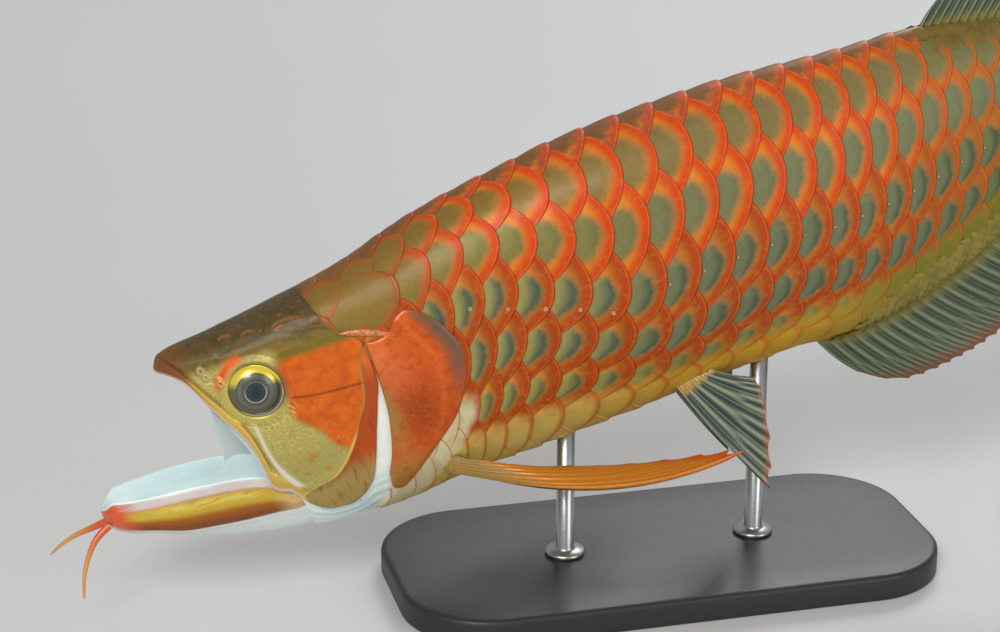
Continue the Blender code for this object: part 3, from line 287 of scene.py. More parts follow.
class Shell:
    """A mesh under construction."""

    def __init__(self):
        self.points, self.faces, self.looks, self.patches = [], [], [], []
        self.values = {channel: [] for channel in CHANNELS}
        self.count = 0

    def grid(self, points, look=0, scale=(0, 0, 0), zone=(0, 0, 0), closed=False, both=False, flip=False):
        """Add a grid of points, shape (n, m, 3); closed joins its last column to its first."""
        if both:
            self.grid(points * (1, -1, 1), look, scale, zone, closed, False, not flip)
        n, m = points.shape[:2]
        index = self.count + np.arange(n * m).reshape(n, m)
        self.count += n * m
        if closed:
            index = np.hstack([index, index[:, :1]])
        quads = np.stack([index[:-1, :-1], index[1:, :-1], index[1:, 1:], index[:-1, 1:]], axis=-1)
        quads = quads.reshape(-1, 4)
        self.faces.append(quads[:, ::-1] if flip else quads)
        v, u = np.meshgrid(np.linspace(0, 1, n), np.linspace(0, 1, index.shape[1]), indexing="ij")
        corner = np.stack([u, v], axis=-1)
        corner = np.stack([corner[:-1, :-1], corner[1:, :-1], corner[1:, 1:], corner[:-1, 1:]], axis=2)
        corner = corner.reshape(-1, 4, 2)
        looped = np.concatenate([points, points[:, :1]], axis=1) if closed else points
        wide = np.linalg.norm(np.diff(looped, axis=1), axis=2).sum(axis=1).mean()
        tall = np.linalg.norm(np.diff(points, axis=0), axis=2).sum(axis=0).mean()
        self.patches.append((corner[:, ::-1] if flip else corner, wide + 0.5, tall + 0.5))
        self.looks.append(np.full(len(quads), look))
        self.points.append(points.reshape(-1, 3))
        self.values["fish"].append(points.reshape(-1, 3))
        for channel, value in (("scale", scale), ("zone", zone)):
            value = np.stack(np.broadcast_arrays(*value, points[..., 0])[:3], axis=-1)
            self.values[channel].append(value.reshape(-1, 3).astype(float))

    def bake_map(self):
        """Lay the grids side by side in shelves, each in a rectangle of its own size, without overlaps."""
        order = sorted(range(len(self.patches)), key=lambda k: -self.patches[k][2])
        side = math.sqrt(sum(wide * tall for _, wide, tall in self.patches)) * 1.04
        side = max(side, max(wide for _, wide, _ in self.patches))
        gap = 0.0022 * side
        left = bottom = shelf = 0.0
        laid = [None] * len(self.patches)
        for k in order:
            corner, wide, tall = self.patches[k]
            if left and left + wide + gap > side:
                left, bottom, shelf = 0.0, bottom + shelf + gap, 0.0
            laid[k] = corner * (wide, tall) + (left, bottom)
            left, shelf = left + wide + gap, max(shelf, tall)
        places = np.vstack(laid)
        return places.reshape(-1, 2) / (1.002 * max(places.max(), 1e-6)) + 0.001

    def build(self, name, looks, slot, nodes=(), place=posed):
        points = np.vstack(self.points)
        faces = np.vstack(self.faces)
        mesh = bpy.data.meshes.new(name)
        mesh.vertices.add(len(points))
        mesh.vertices.foreach_set("co", place(points).astype(np.float32).ravel())
        mesh.loops.add(faces.size)
        mesh.loops.foreach_set("vertex_index", faces.ravel().astype(np.int32))
        mesh.polygons.add(len(faces))
        mesh.polygons.foreach_set("loop_start", np.arange(0, faces.size, 4, dtype=np.int32))
        mesh.polygons.foreach_set("material_index", np.concatenate(self.looks).astype(np.int32))
        mesh.polygons.foreach_set("use_smooth", np.ones(len(faces), bool))
        for channel in CHANNELS:
            attribute = mesh.attributes.new(channel, "FLOAT_VECTOR", "POINT")
            attribute.data.foreach_set("vector", np.vstack(self.values[channel]).astype(np.float32).ravel())
        mesh.uv_layers.new(name="OFBake").data.foreach_set("uv", self.bake_map().astype(np.float32).ravel())
        for look in looks:
            mesh.materials.append(look)
        mesh.update(calc_edges=True)
        joined = bmesh.new()
        joined.from_mesh(mesh)
        bmesh.ops.remove_doubles(joined, verts=joined.verts, dist=1e-6)
        joined.to_mesh(mesh)
        joined.free()
        mesh.validate()
        made = linked(name, mesh)
        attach(made, "root")
        if nodes:
            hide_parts(*nodes)
        return made


# Shading
def linear(colour):
    """A plain colour, given in the usual 0 to 255 numbers, in linear light; a wired one as it is."""
    if isinstance(colour, Wire):
        return colour
    shares = [c / 255 for c in colour]
    return (*(c / 12.92 if c <= 0.04045 else ((c + 0.055) / 1.055) ** 2.4 for c in shares), 1.0)


class Wire:
    """A socket of a finish. Arithmetic on it adds Math nodes."""

    def __init__(self, finish, socket):
        self.finish, self.socket = finish, socket

    def maths(self, operation, *others):
        return self.finish.node("ShaderNodeMath", {"operation": operation}, self, *others)

    def __add__(self, other):
        return self.maths("ADD", other)

    def __mul__(self, other):
        return self.maths("MULTIPLY", other)

    def __sub__(self, other):
        return self.maths("SUBTRACT", other)

    def __rsub__(self, other):
        return self.finish.node("ShaderNodeMath", {"operation": "SUBTRACT"}, other, self)

    def __truediv__(self, other):
        return self.maths("DIVIDE", other)

    def __pow__(self, other):
        return self.maths("POWER", other)

    __radd__, __rmul__ = __add__, __mul__

    def most(self, other):
        return self.maths("MAXIMUM", other)

    def least(self, other):
        return self.maths("MINIMUM", other)

    def size(self):
        return self.maths("ABSOLUTE")

    def sine(self):
        return self.maths("SINE")

    def step(self, low, high):
        """0 below low, 1 above high, smooth between them."""
        if low > high:
            return 1 - self.step(high, low)
        return self.finish.node("ShaderNodeMapRange", {"interpolation_type": "SMOOTHSTEP", "clamp": True},
                                self, low, high, 0.0, 1.0)

    def bell(self, centre, width):
        """1 at the centre, falling to about a third at the width."""
        offset = (self - centre) * (1 / width)
        return (offset * offset * -1.0).maths("EXPONENT")

    def curve(self, *pairs):
        """The value read off a smooth curve through (in, out) pairs."""
        pairs = np.array(pairs, float)
        low, high = pairs.min(axis=0), pairs.max(axis=0)
        span = np.maximum(high - low, 1e-6)
        spots = (pairs - low) / span
        share = (self - float(low[0])) * float(1 / span[0])
        read = self.finish.node("ShaderNodeFloatCurve", {"spots": spots}, 1.0, share)
        return read * float(span[1]) + float(low[1])


class Finish:
    """A material under construction."""

    def __init__(self, name):
        self.material = bpy.data.materials.new(name)
        self.material.use_nodes = True
        self.tree = self.material.node_tree
        self.shader = self.tree.nodes["Principled BSDF"]
        self.read = {}

    def node(self, kind, settings, *values, out=0):
        made = self.tree.nodes.new(kind)
        for key, value in settings.items():
            if key == "spots":
                points = made.mapping.curves[0].points
                while len(points) < len(value):
                    points.new(0.5, 0.5)
                for point, (x, y) in zip(points, value):
                    point.location = (float(x), float(y))
                made.mapping.update()
            else:
                setattr(made, key, value)
        sockets = [s for s in made.inputs if s.enabled]
        for socket, value in zip(sockets, values):
            self.feed(socket, value)
        shown = [s for s in made.outputs if s.enabled]
        return Wire(self, shown[out])

    def feed(self, socket, value):
        if isinstance(value, Wire):
            self.tree.links.new(value.socket, socket)
        elif value is not None:
            socket.default_value = value

    def channel(self, name):
        """The three numbers that the mesh carries under a name."""
        if name not in self.read:
            vector = self.node("ShaderNodeAttribute", {"attribute_name": name}, out=1)
            split = [self.node("ShaderNodeSeparateXYZ", {}, vector)]
            parent = split[0].socket.node
            split += [Wire(self, parent.outputs[1]), Wire(self, parent.outputs[2])]
            self.read[name] = (vector, *split)
        return self.read[name]

    def paint(self, under, over, mask):
        """One colour laid over another where mask is 1."""
        return self.node("ShaderNodeMix", {"data_type": "RGBA"}, mask, linear(under), linear(over))

    def coats(self, colour, *coats):
        """A colour with others laid over it in turn, each given with its mask."""
        for over, mask in coats:
            colour = self.paint(colour, over, mask)
        return colour

    def shade(self, colour, amount):
        """A colour made lighter or darker by a factor."""
        grey = self.node("ShaderNodeCombineColor", {}, amount, amount, amount)
        settings = {"data_type": "RGBA", "blend_type": "MULTIPLY"}
        return self.node("ShaderNodeMix", settings, 1.0, linear(colour), grey)

    def noise(self, vector, size, detail=2.0, roughness=0.5):
        """Soft noise from 0 to 1, its features about size long in the vector's own units."""
        return self.node("ShaderNodeTexNoise", {}, vector, 1 / size, detail, roughness)

    def place(self, x, y, z):
        """A vector of three numbers."""
        return self.node("ShaderNodeCombineXYZ", {}, x, y, z)

    def own_place(self):
        """A place in metres, in the piece's own frame."""
        return self.node("ShaderNodeTexCoord", {}, out=3)

    def stretched(self, vector, *factors):
        return self.node("ShaderNodeVectorMath", {"operation": "MULTIPLY"}, vector, factors)

    def bump(self, height, strength):
        """Height in millimetres, as a shading normal."""
        return self.node("ShaderNodeBump", {}, strength, MM, height)

    def done(self, colour, roughness, metallic=0.0, normal=None, coat=0.0, coat_roughness=0.05, specular=0.5):
        for name, value in (("Base Color", colour), ("Roughness", roughness), ("Metallic", metallic),
                            ("Normal", normal), ("Coat Weight", coat), ("Coat Roughness", coat_roughness),
                            ("Specular IOR Level", specular)):
            self.feed(self.shader.inputs[name], value)
        return self.material


# Scales: every scale is its own lapped plate
SCALE_PITCH = smooth_table((0, 16.2), (260, 16.0), (300, 13.8), (350, 13.0), (400, 12.0), (480, 11.0))
SCALE_STATIONS = np.linspace(20, BODY_LENGTH, 1841)
SCALE_COUNTS = np.concatenate([[0], np.cumsum(np.diff(SCALE_STATIONS) / SCALE_PITCH(SCALE_STATIONS[1:]))])
SCALE_COUNTS = SCALE_COUNTS - np.interp(FIRST_SCALE_X, SCALE_STATIONS, SCALE_COUNTS)
SCALE_COLUMNS = int(np.interp(BODY_LENGTH - 6, SCALE_STATIONS, SCALE_COUNTS))
ROW_SLANT = 3.3
SCALE_ACROSS = np.array([-.745, -.66, -.53, -.39, -.26, -.13, 0, .13, .26, .39, .53, .66, .745])
SCALE_ALONG = np.array([-.06, .12, .3, .46, .6, .72, .82, .9, .96, 1.0])
SCALE_LIP = 0.16       # rounding of a free edge, as a share of its height
SCALE_BULGE = 0.10     # how far a scale's middle is domed
SKIRT_REACH = 0.012    # how far behind the free edge its skirt ends, in scales
SKIRT_DROP = 0.5
SUNK_DEPTH = 2.6
# The plain skin at the ends of the trunk: (first station, last station, steps, how far it lies sunk)
PLAIN_ENDS = ((54, 76, 8, 0.6), (452, 479, 10, 0.35))

COVER_OUTLINE = side_curve((87.2, -14.0), (87.5, -24), (87.2, -33), (86.6, -44), (84.5, -56),
                           (81.5, -67), (78, -76), (77.5, -82), (81, -84.5), (88, -80.5), (97, -73),
                           (105, -66.5), (112.5, -60), (119, -50.5), (123.5, -40), (124.5, -31),
                           (121.5, -21), (115, -11.5), (107, -6.5), (102, -8.5), (97, -13.5), (92, -14.5),
                           (87.2, -14.0))
HEAD_TOP_LENGTH = 70.0
REAR_EDGE = side_curve((HEAD_TOP_LENGTH, 11.2), (72, 5), (75, -2), (80, -7.5), (85.5, -13), (86.5, -22),
                       (86.5, -31), (83.5, -41), (79.5, -52), (76, -62), (73, -70), (70, -76))
LOWER_EDGE = side_curve((0.5, -1.0), (5, -2.5), (10, -6.5), (13.5, -12), (16.5, -19), (20.5, -27),
                        (25, -36), (27.5, -43), (28.7, -50), (29.2, -57), (29.6, -63), (32, -66.5),
                        (36, -68), (39, -72), (43, -77.5), (50, -83), (58, -84), (65, -81), (70, -76))


def folded(row):
    row = np.mod(row, ROWS)
    return np.minimum(row, ROWS - row)


def scale_x(count, row):
    """Where a scale coordinate lies along the fish; columns lean forward towards the belly."""
    lean = ROW_SLANT * ((1 - np.cos(np.pi * folded(row) / (ROWS / 2))) / 2) ** 1.3
    ramp = smoothstep(-1, 8, count) * (1 - smoothstep(SCALE_COLUMNS - 8, SCALE_COLUMNS - 1, count))
    return np.interp(count - lean * ramp, SCALE_COUNTS, SCALE_STATIONS)


def relief(x, row):
    """Height of a scale's free edge: low on the breast, under the fins and towards the tail."""
    row = folded(row)
    height = 1 - 0.55 * smoothstep(380, 470, x)
    height = height * (1 - 0.6 * (1 - smoothstep(86, 112, x)) * (1 - smoothstep(2.2, 3.2, row)))
    height = height * (1 - 0.7 * smoothstep(3.9, 4.8, row) * (1 - smoothstep(118, 140, x)))
    under_dorsal = smoothstep(350, 358, x) * (1 - smoothstep(0.5, 1.0, row))
    under_anal = smoothstep(262, 272, x) * smoothstep(5.8, 6.4, row)
    at_pelvic = smoothstep(198, 206, x) * (1 - smoothstep(238, 246, x)) * smoothstep(4.9, 5.5, row)
    return height * (1 - 0.75 * np.maximum(np.maximum(under_dorsal, under_anal), at_pelvic))


def hidden_outline():
    """What the head and the gill cover hide of the body, in side view."""
    upper = REAR_EDGE(np.linspace(0, 0.42, 16))
    rim = COVER_OUTLINE(np.linspace(1, 0.345, 40))
    return np.vstack([[(-10, 60), (70, 60)], upper, rim, [(77, -87), (70, -92), (70, -140), (-10, -140)]])


HIDDEN = hidden_outline()


def sunk(x, z):
    """How far the body's own surface is drawn in beneath the head and the gill covers."""
    return SUNK_DEPTH * smoothstep(0.5, 2.6, depth_inside(x, z, HIDDEN))


def scaled_trunk(shell, look):
    """Every scale, as a small grid that laps over the next ones and ends in a skirt down to the skin."""
    columns, rows = (a.ravel() for a in np.meshgrid(np.arange(SCALE_COLUMNS), np.arange(ROWS), indexing="ij"))
    rear = (columns + (rows % 2) / 2)[:, None, None]
    across = SCALE_ACROSS[None, :, None]
    along = SCALE_ALONG[None, None, :]
    front_edge = np.where(abs(across) <= .25, -1 - across ** 2, -.5 - (1 - abs(across)) ** 2)
    rear_edge = -across ** 2
    share = front_edge + (rear_edge - front_edge) * along
    row = rows[:, None, None] + across + 0 * along
    x = scale_x(rear + share, row)
    top = (1 - .55 * smoothstep(.2, .75, abs(across))) * np.ones_like(along)
    rounding = SCALE_LIP * np.clip((along - .86) / .14, 0, 1) ** 2
    bulge = SCALE_BULGE * np.sin(np.pi * np.clip(along, 0, 1)) * (1 - (across / .75) ** 2)
    lift = relief(x, row) * (top * (along - rounding) + bulge)
    skirt_x = scale_x(rear + rear_edge + SKIRT_REACH, row[..., -1:])
    x = np.concatenate([x, skirt_x], axis=2)
    row = np.concatenate([row, row[..., -1:]], axis=2)
    lift = np.concatenate([lift, -SKIRT_DROP + 0 * skirt_x], axis=2)
    plain = body_surface(x, row)
    lift = lift - sunk(x, plain[..., 2])
    points = body_surface(x, row, lift)
    from_edge = np.concatenate([rear_edge - share + 0 * lift[..., :-1], 0 * skirt_x], axis=2)
    seed = np.mod(columns * 0.618 + rows * 0.377, 1.0)[:, None, None] + 0 * x
    for k in range(len(columns)):
        shell.grid(points[k], look, (np.broadcast_to(across, x.shape)[k], from_edge[k], seed[k]),
                   (folded(rows[k]), 0, 0), flip=True)


def trunk_ends(shell, look):
    """The plain skin before the first scales and behind the last ones."""
    row = np.linspace(0, ROWS, 85)[:-1]
    for first, last, steps, drop in PLAIN_ENDS:
        x, r = np.meshgrid(np.linspace(first, last, steps), row, indexing="ij")
        z = body_surface(x, r)[..., 2]
        points = body_surface(x, r, -drop - sunk(x, z))
        shell.grid(points, look, (0.0, 0.5, 0.5), (folded(r), 0.0, 0.0), closed=True, flip=True)
    rim = points[-1]
    middle = rim.mean(axis=0)
    cap = middle + (rim - middle) * np.array([1, .7, .35, .01])[:, None, None]
    shell.grid(cap, look, (0.0, 0.5, 0.5), (3.0, 0.0, 0.0), closed=True, flip=True)


# Head
HEAD_STATIONS = 112
FULL_DEPTH = 26.0      # where the head is less deep than this, the steps at its lip draw together
LIP_STEPS = np.array([10.5, 9.9, 9.4, 8.9, 8.4, 7.8, 7.2, 6.4, 5.4, 4.4, 3.4, 2.5, 1.7, 1.1, .6, .25, 0])
MAXILLA_END = 0.585
MOUTH_END = 0.66
LIP_THICKNESS = 2.4
EYE_CENTRE = (38.0, -19.0)
EYE_RADIUS = 11.6
EYE_DEPTH = 5.7
EYE_INSET = 2.9
CHEEK_RIDGE = [(85, -15), (81.5, -24), (80, -32), (76, -42), (70, -51), (64, -60), (56, -67), (44, -69)]
BROW_LINE = [(24, 2), (32, -3), (44, -5.5), (58, -1), (72, 3)]
CHEEK_SUTURE = [(50, -26), (60, -28.5), (70, -29.5), (80, -30)]
SKULL_CANAL = [(28, 0), (40, 1), (52, 2), (62, -1), (70, -2), (75, -4)]


def head_side(a, b):
    """Side-view place of head coordinates: a from the snout back, b from the top to the lower edge."""
    top = np.stack([HEAD_TOP_LENGTH * a, TOP(HEAD_TOP_LENGTH * a)], axis=-1)
    low = LOWER_EDGE(a)
    flat = (1 - b)[..., None] * top + b[..., None] * low
    bulge = REAR_EDGE(b) - (1 - b)[..., None] * REAR_EDGE(0.0) - b[..., None] * REAR_EDGE(1.0)
    return flat + (a ** 2.6)[..., None] * bulge


GROOVE = smooth_table((-67, 41.5), (-62, 38), (-55, 35), (-45, 33), (-33, 32), (-20, 30), (0, 30))


def eye_distance(x, z):
    return np.hypot(x - EYE_CENTRE[0], z - EYE_CENTRE[1])


def head_lift(x, z, from_lip, upper_jaw):
    """Height of the head's plates, ridges and lids over the plain skin."""
    upper_jaw = upper_jaw * smoothstep(2.0, -0.5, x - GROOVE(z))
    from_eye = eye_distance(x, z)
    lift = 0.35 * ridge(from_eye - EYE_RADIUS - 1.2, 2.0)
    lift += 0.7 * ridge(line_distance(x, z, CHEEK_RIDGE), 2.6)
    lift += 0.06 * ridge(line_distance(x, z, BROW_LINE), 3.6)
    lift += upper_jaw * (1.0 * (1 - smoothstep(7.0, 8.4, from_lip)) - 0.9 * ridge(from_lip - 8.9, 0.9))
    return lift


CROWN_MARKS = [[(53, 3.2), (57, 5.0), (62, 5.2), (66, 3.2)], [(51, -7.0), (55, -5.3), (60, -5.2), (63, -6.8)],
               [(40, 4.0), (43, 5.0), (46, 4.4)], [(69, 1.0), (74, 2.4), (80, 1.2)],
               [(30, 4.6), (33, 5.6), (36, 5.0)]]


def fine_lift(x, z):
    """Sutures, canals and folds that the solids leave out."""
    marks = sum(0.22 * ridge(line_distance(x, z, mark), 1.1) for mark in CROWN_MARKS)
    return marks + fine_sutures(x, z)


# Fine lines of the head: (height, width, the line's places)
FINE_LINES = (
    (-0.30, 0.7, CHEEK_SUTURE),
    (-0.14, 0.8, SKULL_CANAL),
    (0.28, 0.9, [(70, -51), (66, -58), (62, -63), (57, -67), (50, -69), (43, -68)]),
    (-0.45, 1.0, [(86, -20), (83, -29), (79, -40), (73, -49), (66.5, -60), (59, -68), (50, -71.5), (42, -70)]),
    (0.35, 1.6, [(77, -5), (86, -8.5), (97, -15)]))


def fine_sutures(x, z):
    """Seams and canals, and the small folds fanned out behind and below the eye."""
    lift = 0.0
    for height, width, line in FINE_LINES:
        lift = lift + height * ridge(line_distance(x, z, line), width)
    angle = np.arctan2(z - EYE_CENTRE[1], x - EYE_CENTRE[0])
    from_eye = eye_distance(x, z)
    folds = np.sin(angle * 26 + 0.25 * from_eye) * ridge(from_eye - 16.5, 2.8)
    lift += 0.16 * folds * smoothstep(-2.9, -2.5, angle) * (1 - smoothstep(-1.0, -0.4, angle))
    return lift


def head_shell(shell, skin_look, lining_look):
    """The skull's skin with its lips, and the roof of the mouth; its rear edge drops to the gill slit."""
    a = np.concatenate([np.linspace(0, 1, HEAD_STATIONS) ** 1.12, [1, 1, 1]])
    drop = np.concatenate([np.zeros(HEAD_STATIONS), [0.35, 1.0, 3.4]])
    top = np.stack([HEAD_TOP_LENGTH * a, TOP(HEAD_TOP_LENGTH * a)], axis=-1)
    length = np.hypot(*(top - LOWER_EDGE(a)).T) + 1e-6
    reach = np.minimum(1, length / FULL_DEPTH)
    offsets = LIP_STEPS[None] * reach[:, None] / length[:, None]
    cheek = np.linspace(0, 1, 61)[None, :-1] * (1 - offsets[:, :1])
    b = np.concatenate([cheek, 1 - offsets], axis=1)
    grown_a = np.broadcast_to(a[:, None], b.shape)
    side = head_side(grown_a, b)
    x, z = side[..., 0], side[..., 1]
    from_lip = (1 - b) * length[:, None]
    upper_jaw = (smoothstep(0.02, 0.08, a) * (1 - smoothstep(MAXILLA_END, MAXILLA_END + .03, a)))[:, None]
    lift = head_lift(x, z, from_lip, upper_jaw) + fine_lift(x, z)
    lift[:, 0] = 0
    lift -= 0.6 * np.clip(1 - from_lip / 1.4, 0, 1) ** 2
    from_eye = eye_distance(x, z)
    lift -= 0.8 * smoothstep(16.0, 14.6, from_eye) + 2.6 * smoothstep(14.0, 11.0, from_eye)
    for cx, cz, radius in NOSTRILS:
        lift -= 0.9 * smoothstep(2.6 * radius, 1.9 * radius, np.hypot(x - cx, z - cz))
    row = row_at(x, z)
    row[:, 0] = 0.0
    x = x + np.where(drop > 0, 0.15, 0)[:, None]
    near = body_surface(x, row, lift - drop[:, None])
    whole = np.concatenate([(near * (1, -1, 1))[:, ::-1], near[:, 1:]], axis=1)
    lips = np.concatenate([from_lip[:, ::-1], from_lip[:, 1:]], axis=1)
    shell.grid(whole, skin_look, zone=(0, lips, 0))
    lip = near[:, -1]
    mouth = (1 - smoothstep(MOUTH_END - 0.1, MOUTH_END, a))[:, None]
    roof = 1 - (0.30 + 0.2 * (1 - smoothstep(0.1, 0.3, a)))[:, None] * mouth
    turn = np.pi * np.linspace(0, 1, 34)[None, 1:-1]
    depth_share = 1 - (1 - roof) * np.sin(turn) ** 0.7
    inner = head_side(np.broadcast_to(a[:, None], depth_share.shape), depth_share)
    half = abs(lip[:, 1:2]) - np.minimum(LIP_THICKNESS, 0.4 * abs(lip[:, 1:2])) * mouth
    palate = np.stack([inner[..., 0], -half * np.cos(turn), inner[..., 1]], axis=-1)
    inner_lip = np.column_stack([lip[:, 0], lip[:, 1] * 0 - half[:, 0], lip[:, 2] + 0.5 * mouth[:, 0]])
    middle_lip = lip * 0.5 + inner_lip * 0.5 - np.array([0, 0, 0.5]) * mouth
    far = [p * (1, -1, 1) for p in (inner_lip, middle_lip, lip)]
    across = np.stack([lip, middle_lip, inner_lip], axis=1)
    across = np.concatenate([across, palate, np.stack(far, axis=1)], axis=1)
    shell.grid(across, lining_look)


NAPE_FRONT = smooth_table((-11, 84), (-7, 79.5), (-2, 74.5), (3, 71.5), (11, 70.5))
NAPE_REAR = smooth_table((-11, 97), (-9, 102.5), (-4, 106), (1, 107.5), (5, 107), (9, 102.5), (11, 96))


def nape_plates(shell, look):
    """The one large scale on each side that covers the front of the nape."""
    z = np.linspace(-11, 11, 22)[:, None]
    along = np.array([0, .08, .2, .35, .5, .64, .76, .86, .93, .98, 1.0])[None]
    front, rear = NAPE_FRONT(z), NAPE_REAR(z)
    x = front + (rear - front) * along
    sides = 1 - abs(z / 11) ** 6
    lift = (-0.2 + 1.35 * along - 0.35 * np.clip((along - .86) / .14, 0, 1) ** 2) * (.35 + .65 * sides)
    x = np.concatenate([x, rear + 0.2], axis=1)
    lift = np.concatenate([lift, lift[:, :1] * 0 - 0.3], axis=1)
    level = np.broadcast_to(z + 0.10 * (x - 90), x.shape)
    points = skin(x, np.minimum(level, TOP(x) - 1.0), lift)
    values = (np.broadcast_to(z / 22, x.shape), np.clip(rear - x, 0, None) / 16, 0.3)
    shell.grid(points, look, values, (1.2, 0, 0), both=True)


def cover_fold(shell, look):
    """The thick fold of skin where the nape meets the top of the gill cover."""
    t = np.linspace(0, 1, 24)
    x, z = 77.5 + 23 * t, -7.2 - 8.6 * t + 1.2 * np.sin(np.pi * t)
    line = skin(x, z, 0.55)
    outward = skin(x, z, 1.55) - line
    ahead = np.gradient(line, axis=0)
    up = np.cross(outward, ahead)
    up /= np.linalg.norm(up, axis=1, keepdims=True)
    turn = circle(12)
    size = (1.0 * np.sin(np.pi * np.clip(t, 0.0, 1)) ** 0.7)[:, None, None]
    ring = outward[:, None] * 0.75 * np.cos(turn)[None, :, None] \
        + up[:, None] * 1.55 * np.sin(turn)[None, :, None]
    shell.grid(line[:, None] + ring * size, look, zone=(0, FOLD_MARK, 0), closed=True, both=True, flip=True)


def round_patch(shell, look, centre, radii, lifts, steps, stretch=1.0):
    """A round patch of skin, drawn in rings about a place in side view, on both sides of the head."""
    radius, angle = np.meshgrid(radii, circle(steps), indexing="ij")
    x, z = centre[0] + radius * np.cos(angle), centre[1] + stretch * radius * np.sin(angle)
    own = np.broadcast_to(np.array(lifts)[:, None], x.shape)
    base = head_lift(x, z, FAR_FROM_LIP, 0.0) + fine_lift(x, z)
    share = np.clip((radius - radii[0]) / (radii[-1] - radii[0]), 0, 1) ** 1.5
    points = skin(x, z, own + base * share)
    shell.grid(points, look, zone=(0, FAR_FROM_LIP, 0), closed=True, both=True)


def mouth_corners(shell, look):
    """Folds of pale skin inside the corners of the mouth: drawn out on the far side, tucked in on the near."""
    share = np.linspace(0, 1, 34)
    upper = head_side(0.17 + (MAXILLA_END - 0.15) * share, np.ones_like(share))
    t = np.linspace(0, 1, 18)[None, :, None]
    drawn = side_curve((14.5, -16), (15.6, -24), (15.2, -32), (14.2, -41), (13.4, -50), (12.4, -57.5))(share)
    tucked = upper - 2.2 * np.sin(np.pi * share)[:, None] * (0.8, 0.5)
    for way, edge in ((1, drawn), (-1, tucked)):
        side = upper[:, None] * (1 - t) + edge[:, None] * t
        half = abs(skin(upper[:, 0], upper[:, 1])[:, 1])[:, None]
        sag = 1.3 * np.sin(np.pi * t[..., 0]) * np.sin(np.pi * share)[:, None]
        faces = [np.stack([side[..., 0], way * (half - depth - 1.2 * t[..., 0] - sag), side[..., 1]], axis=-1)
                 for depth in (1.7, 2.4)]
        rim = np.stack([face[:, -1] for face in faces], axis=1)
        for face, flip in ((faces[0], way > 0), (faces[1], way < 0), (rim, way > 0)):
            shell.grid(face, look, zone=(0, 0, CORNER_MARK), flip=flip)


# Each nostril's place and radius in side view; a ring about it is this much taller than wide
NOSTRILS = ((19.0, -4.0, 1.2), (20.2, -7.2, 1.0), (25.0, -11.5, 1.1))
NOSTRIL_STRETCH = 1.2
# Rings about the eye, from its lid outward, and about a nostril: (radius, height over the skin)
LID_RINGS = ((9.3, -1.4), (9.6, -.5), (9.9, .02), (10.2, .14), (10.5, .2), (10.8, .24), (11.1, .2),
             (11.35, .02), (11.6, .2), (12.0, .46), (12.6, .42), (13.4, .26), (14.6, .1), (15.9, .02),
             (16.3, -.35))
NOSTRIL_RINGS = ((0, .45), (.25, .5), (.42, .62), (.52, .72), (.64, .84), (.8, .9), (1.0, .82), (1.25, .6),
                 (1.55, .34), (1.9, .14), (2.3, .04), (2.8, -.35))


def face_details(shell, look):
    """The rings of the eyelids and the nostrils' knobs."""
    radii, lifts = np.array(LID_RINGS).T
    round_patch(shell, look, EYE_CENTRE, radii, lifts, 112)
    radii, lifts = np.array(NOSTRIL_RINGS).T
    for x, z, radius in NOSTRILS:
        round_patch(shell, look, (x, z), radius * radii, lifts, 24, NOSTRIL_STRETCH)


def gill_slit(shell, look):
    """The smooth pale skin between the head's rear edge and the gill cover."""
    z = np.linspace(-12, -88, 50)
    share = np.linspace(0, 1, 16)
    left = np.interp(-z, [12, 31, 52, 76, 88], [82, 82, 75, 64, 62])
    right = np.interp(-z, [12, 31, 52, 76, 88], [92, 92, 90, 85, 84])
    x = left[:, None] + (right - left)[:, None] * share
    level = np.broadcast_to(z[:, None], x.shape)
    shell.grid(skin(x, level, -0.9 + 0.25 * np.cos(2 * np.pi * share)), look, both=True)


COVER_CENTRE = np.array([100.0, -42.0])
COVER_BONE = [(103, -9), (108, -19), (112.5, -30), (111.5, -44), (107, -57), (101, -66), (95, -71.5)]


def gill_cover(shell, look):
    """The smooth plate of the gill cover, in rings from its rim to its middle."""
    around = COVER_OUTLINE(np.linspace(0, 1, 151)[:-1])
    shares = np.array([1.0, 1.0, .996, .988, .975, .955, .93, .90, .86, .82, .77, .72, .66, .6, .53, .46,
                       .38, .3, .2, .1, .004])
    edge = np.array([-2.0, -.15, .35, .58, .68, .72] + [.72] * 15)
    side = COVER_CENTRE + (around - COVER_CENTRE) * shares[:, None, None]
    x, z = side[..., 0], side[..., 1]
    bone = line_distance(x, z, COVER_BONE)
    depth = depth_inside(x, z, np.array(COVER_BONE + [(90, -80), (86, -50), (88, -12)]))
    lift = edge[:, None] + 0.8 * (1 - shares[:, None] ** 8)
    lift = lift + 0.25 * ridge(bone, 1.5) + 0.25 * smoothstep(-1.0, 1.5, depth) * (shares[:, None] < .98)
    shell.grid(skin(x, z, lift), look, zone=(shares[:, None], depth, 0), closed=True, both=True, flip=True)


THROAT_SIDE = smooth_table((30, -66), (36, -72), (39, -74.5), (43, -79), (50, -84.2), (58, -85.2),
                           (65, -82.2), (70, -78), (84, -78))


def throat(shell, look):
    """The pale folded skin below the mouth, from one side round the belly to the other."""
    stations = np.linspace(31, 84, 54)
    start = row_at(stations, THROAT_SIDE(stations) + 2.0)
    share = np.linspace(0, 1, 61)
    row = start[:, None] + (ROWS - 2 * start)[:, None] * share
    x = np.broadcast_to(stations[:, None], row.shape)
    folds = 0.22 * np.sin(share * 60) * np.sin(np.pi * share) ** 0.3
    points = body_surface(x, row, -0.85 + folds[None] - 2.2 * smoothstep(42, 36, x))
    shell.grid(points, look, flip=True)


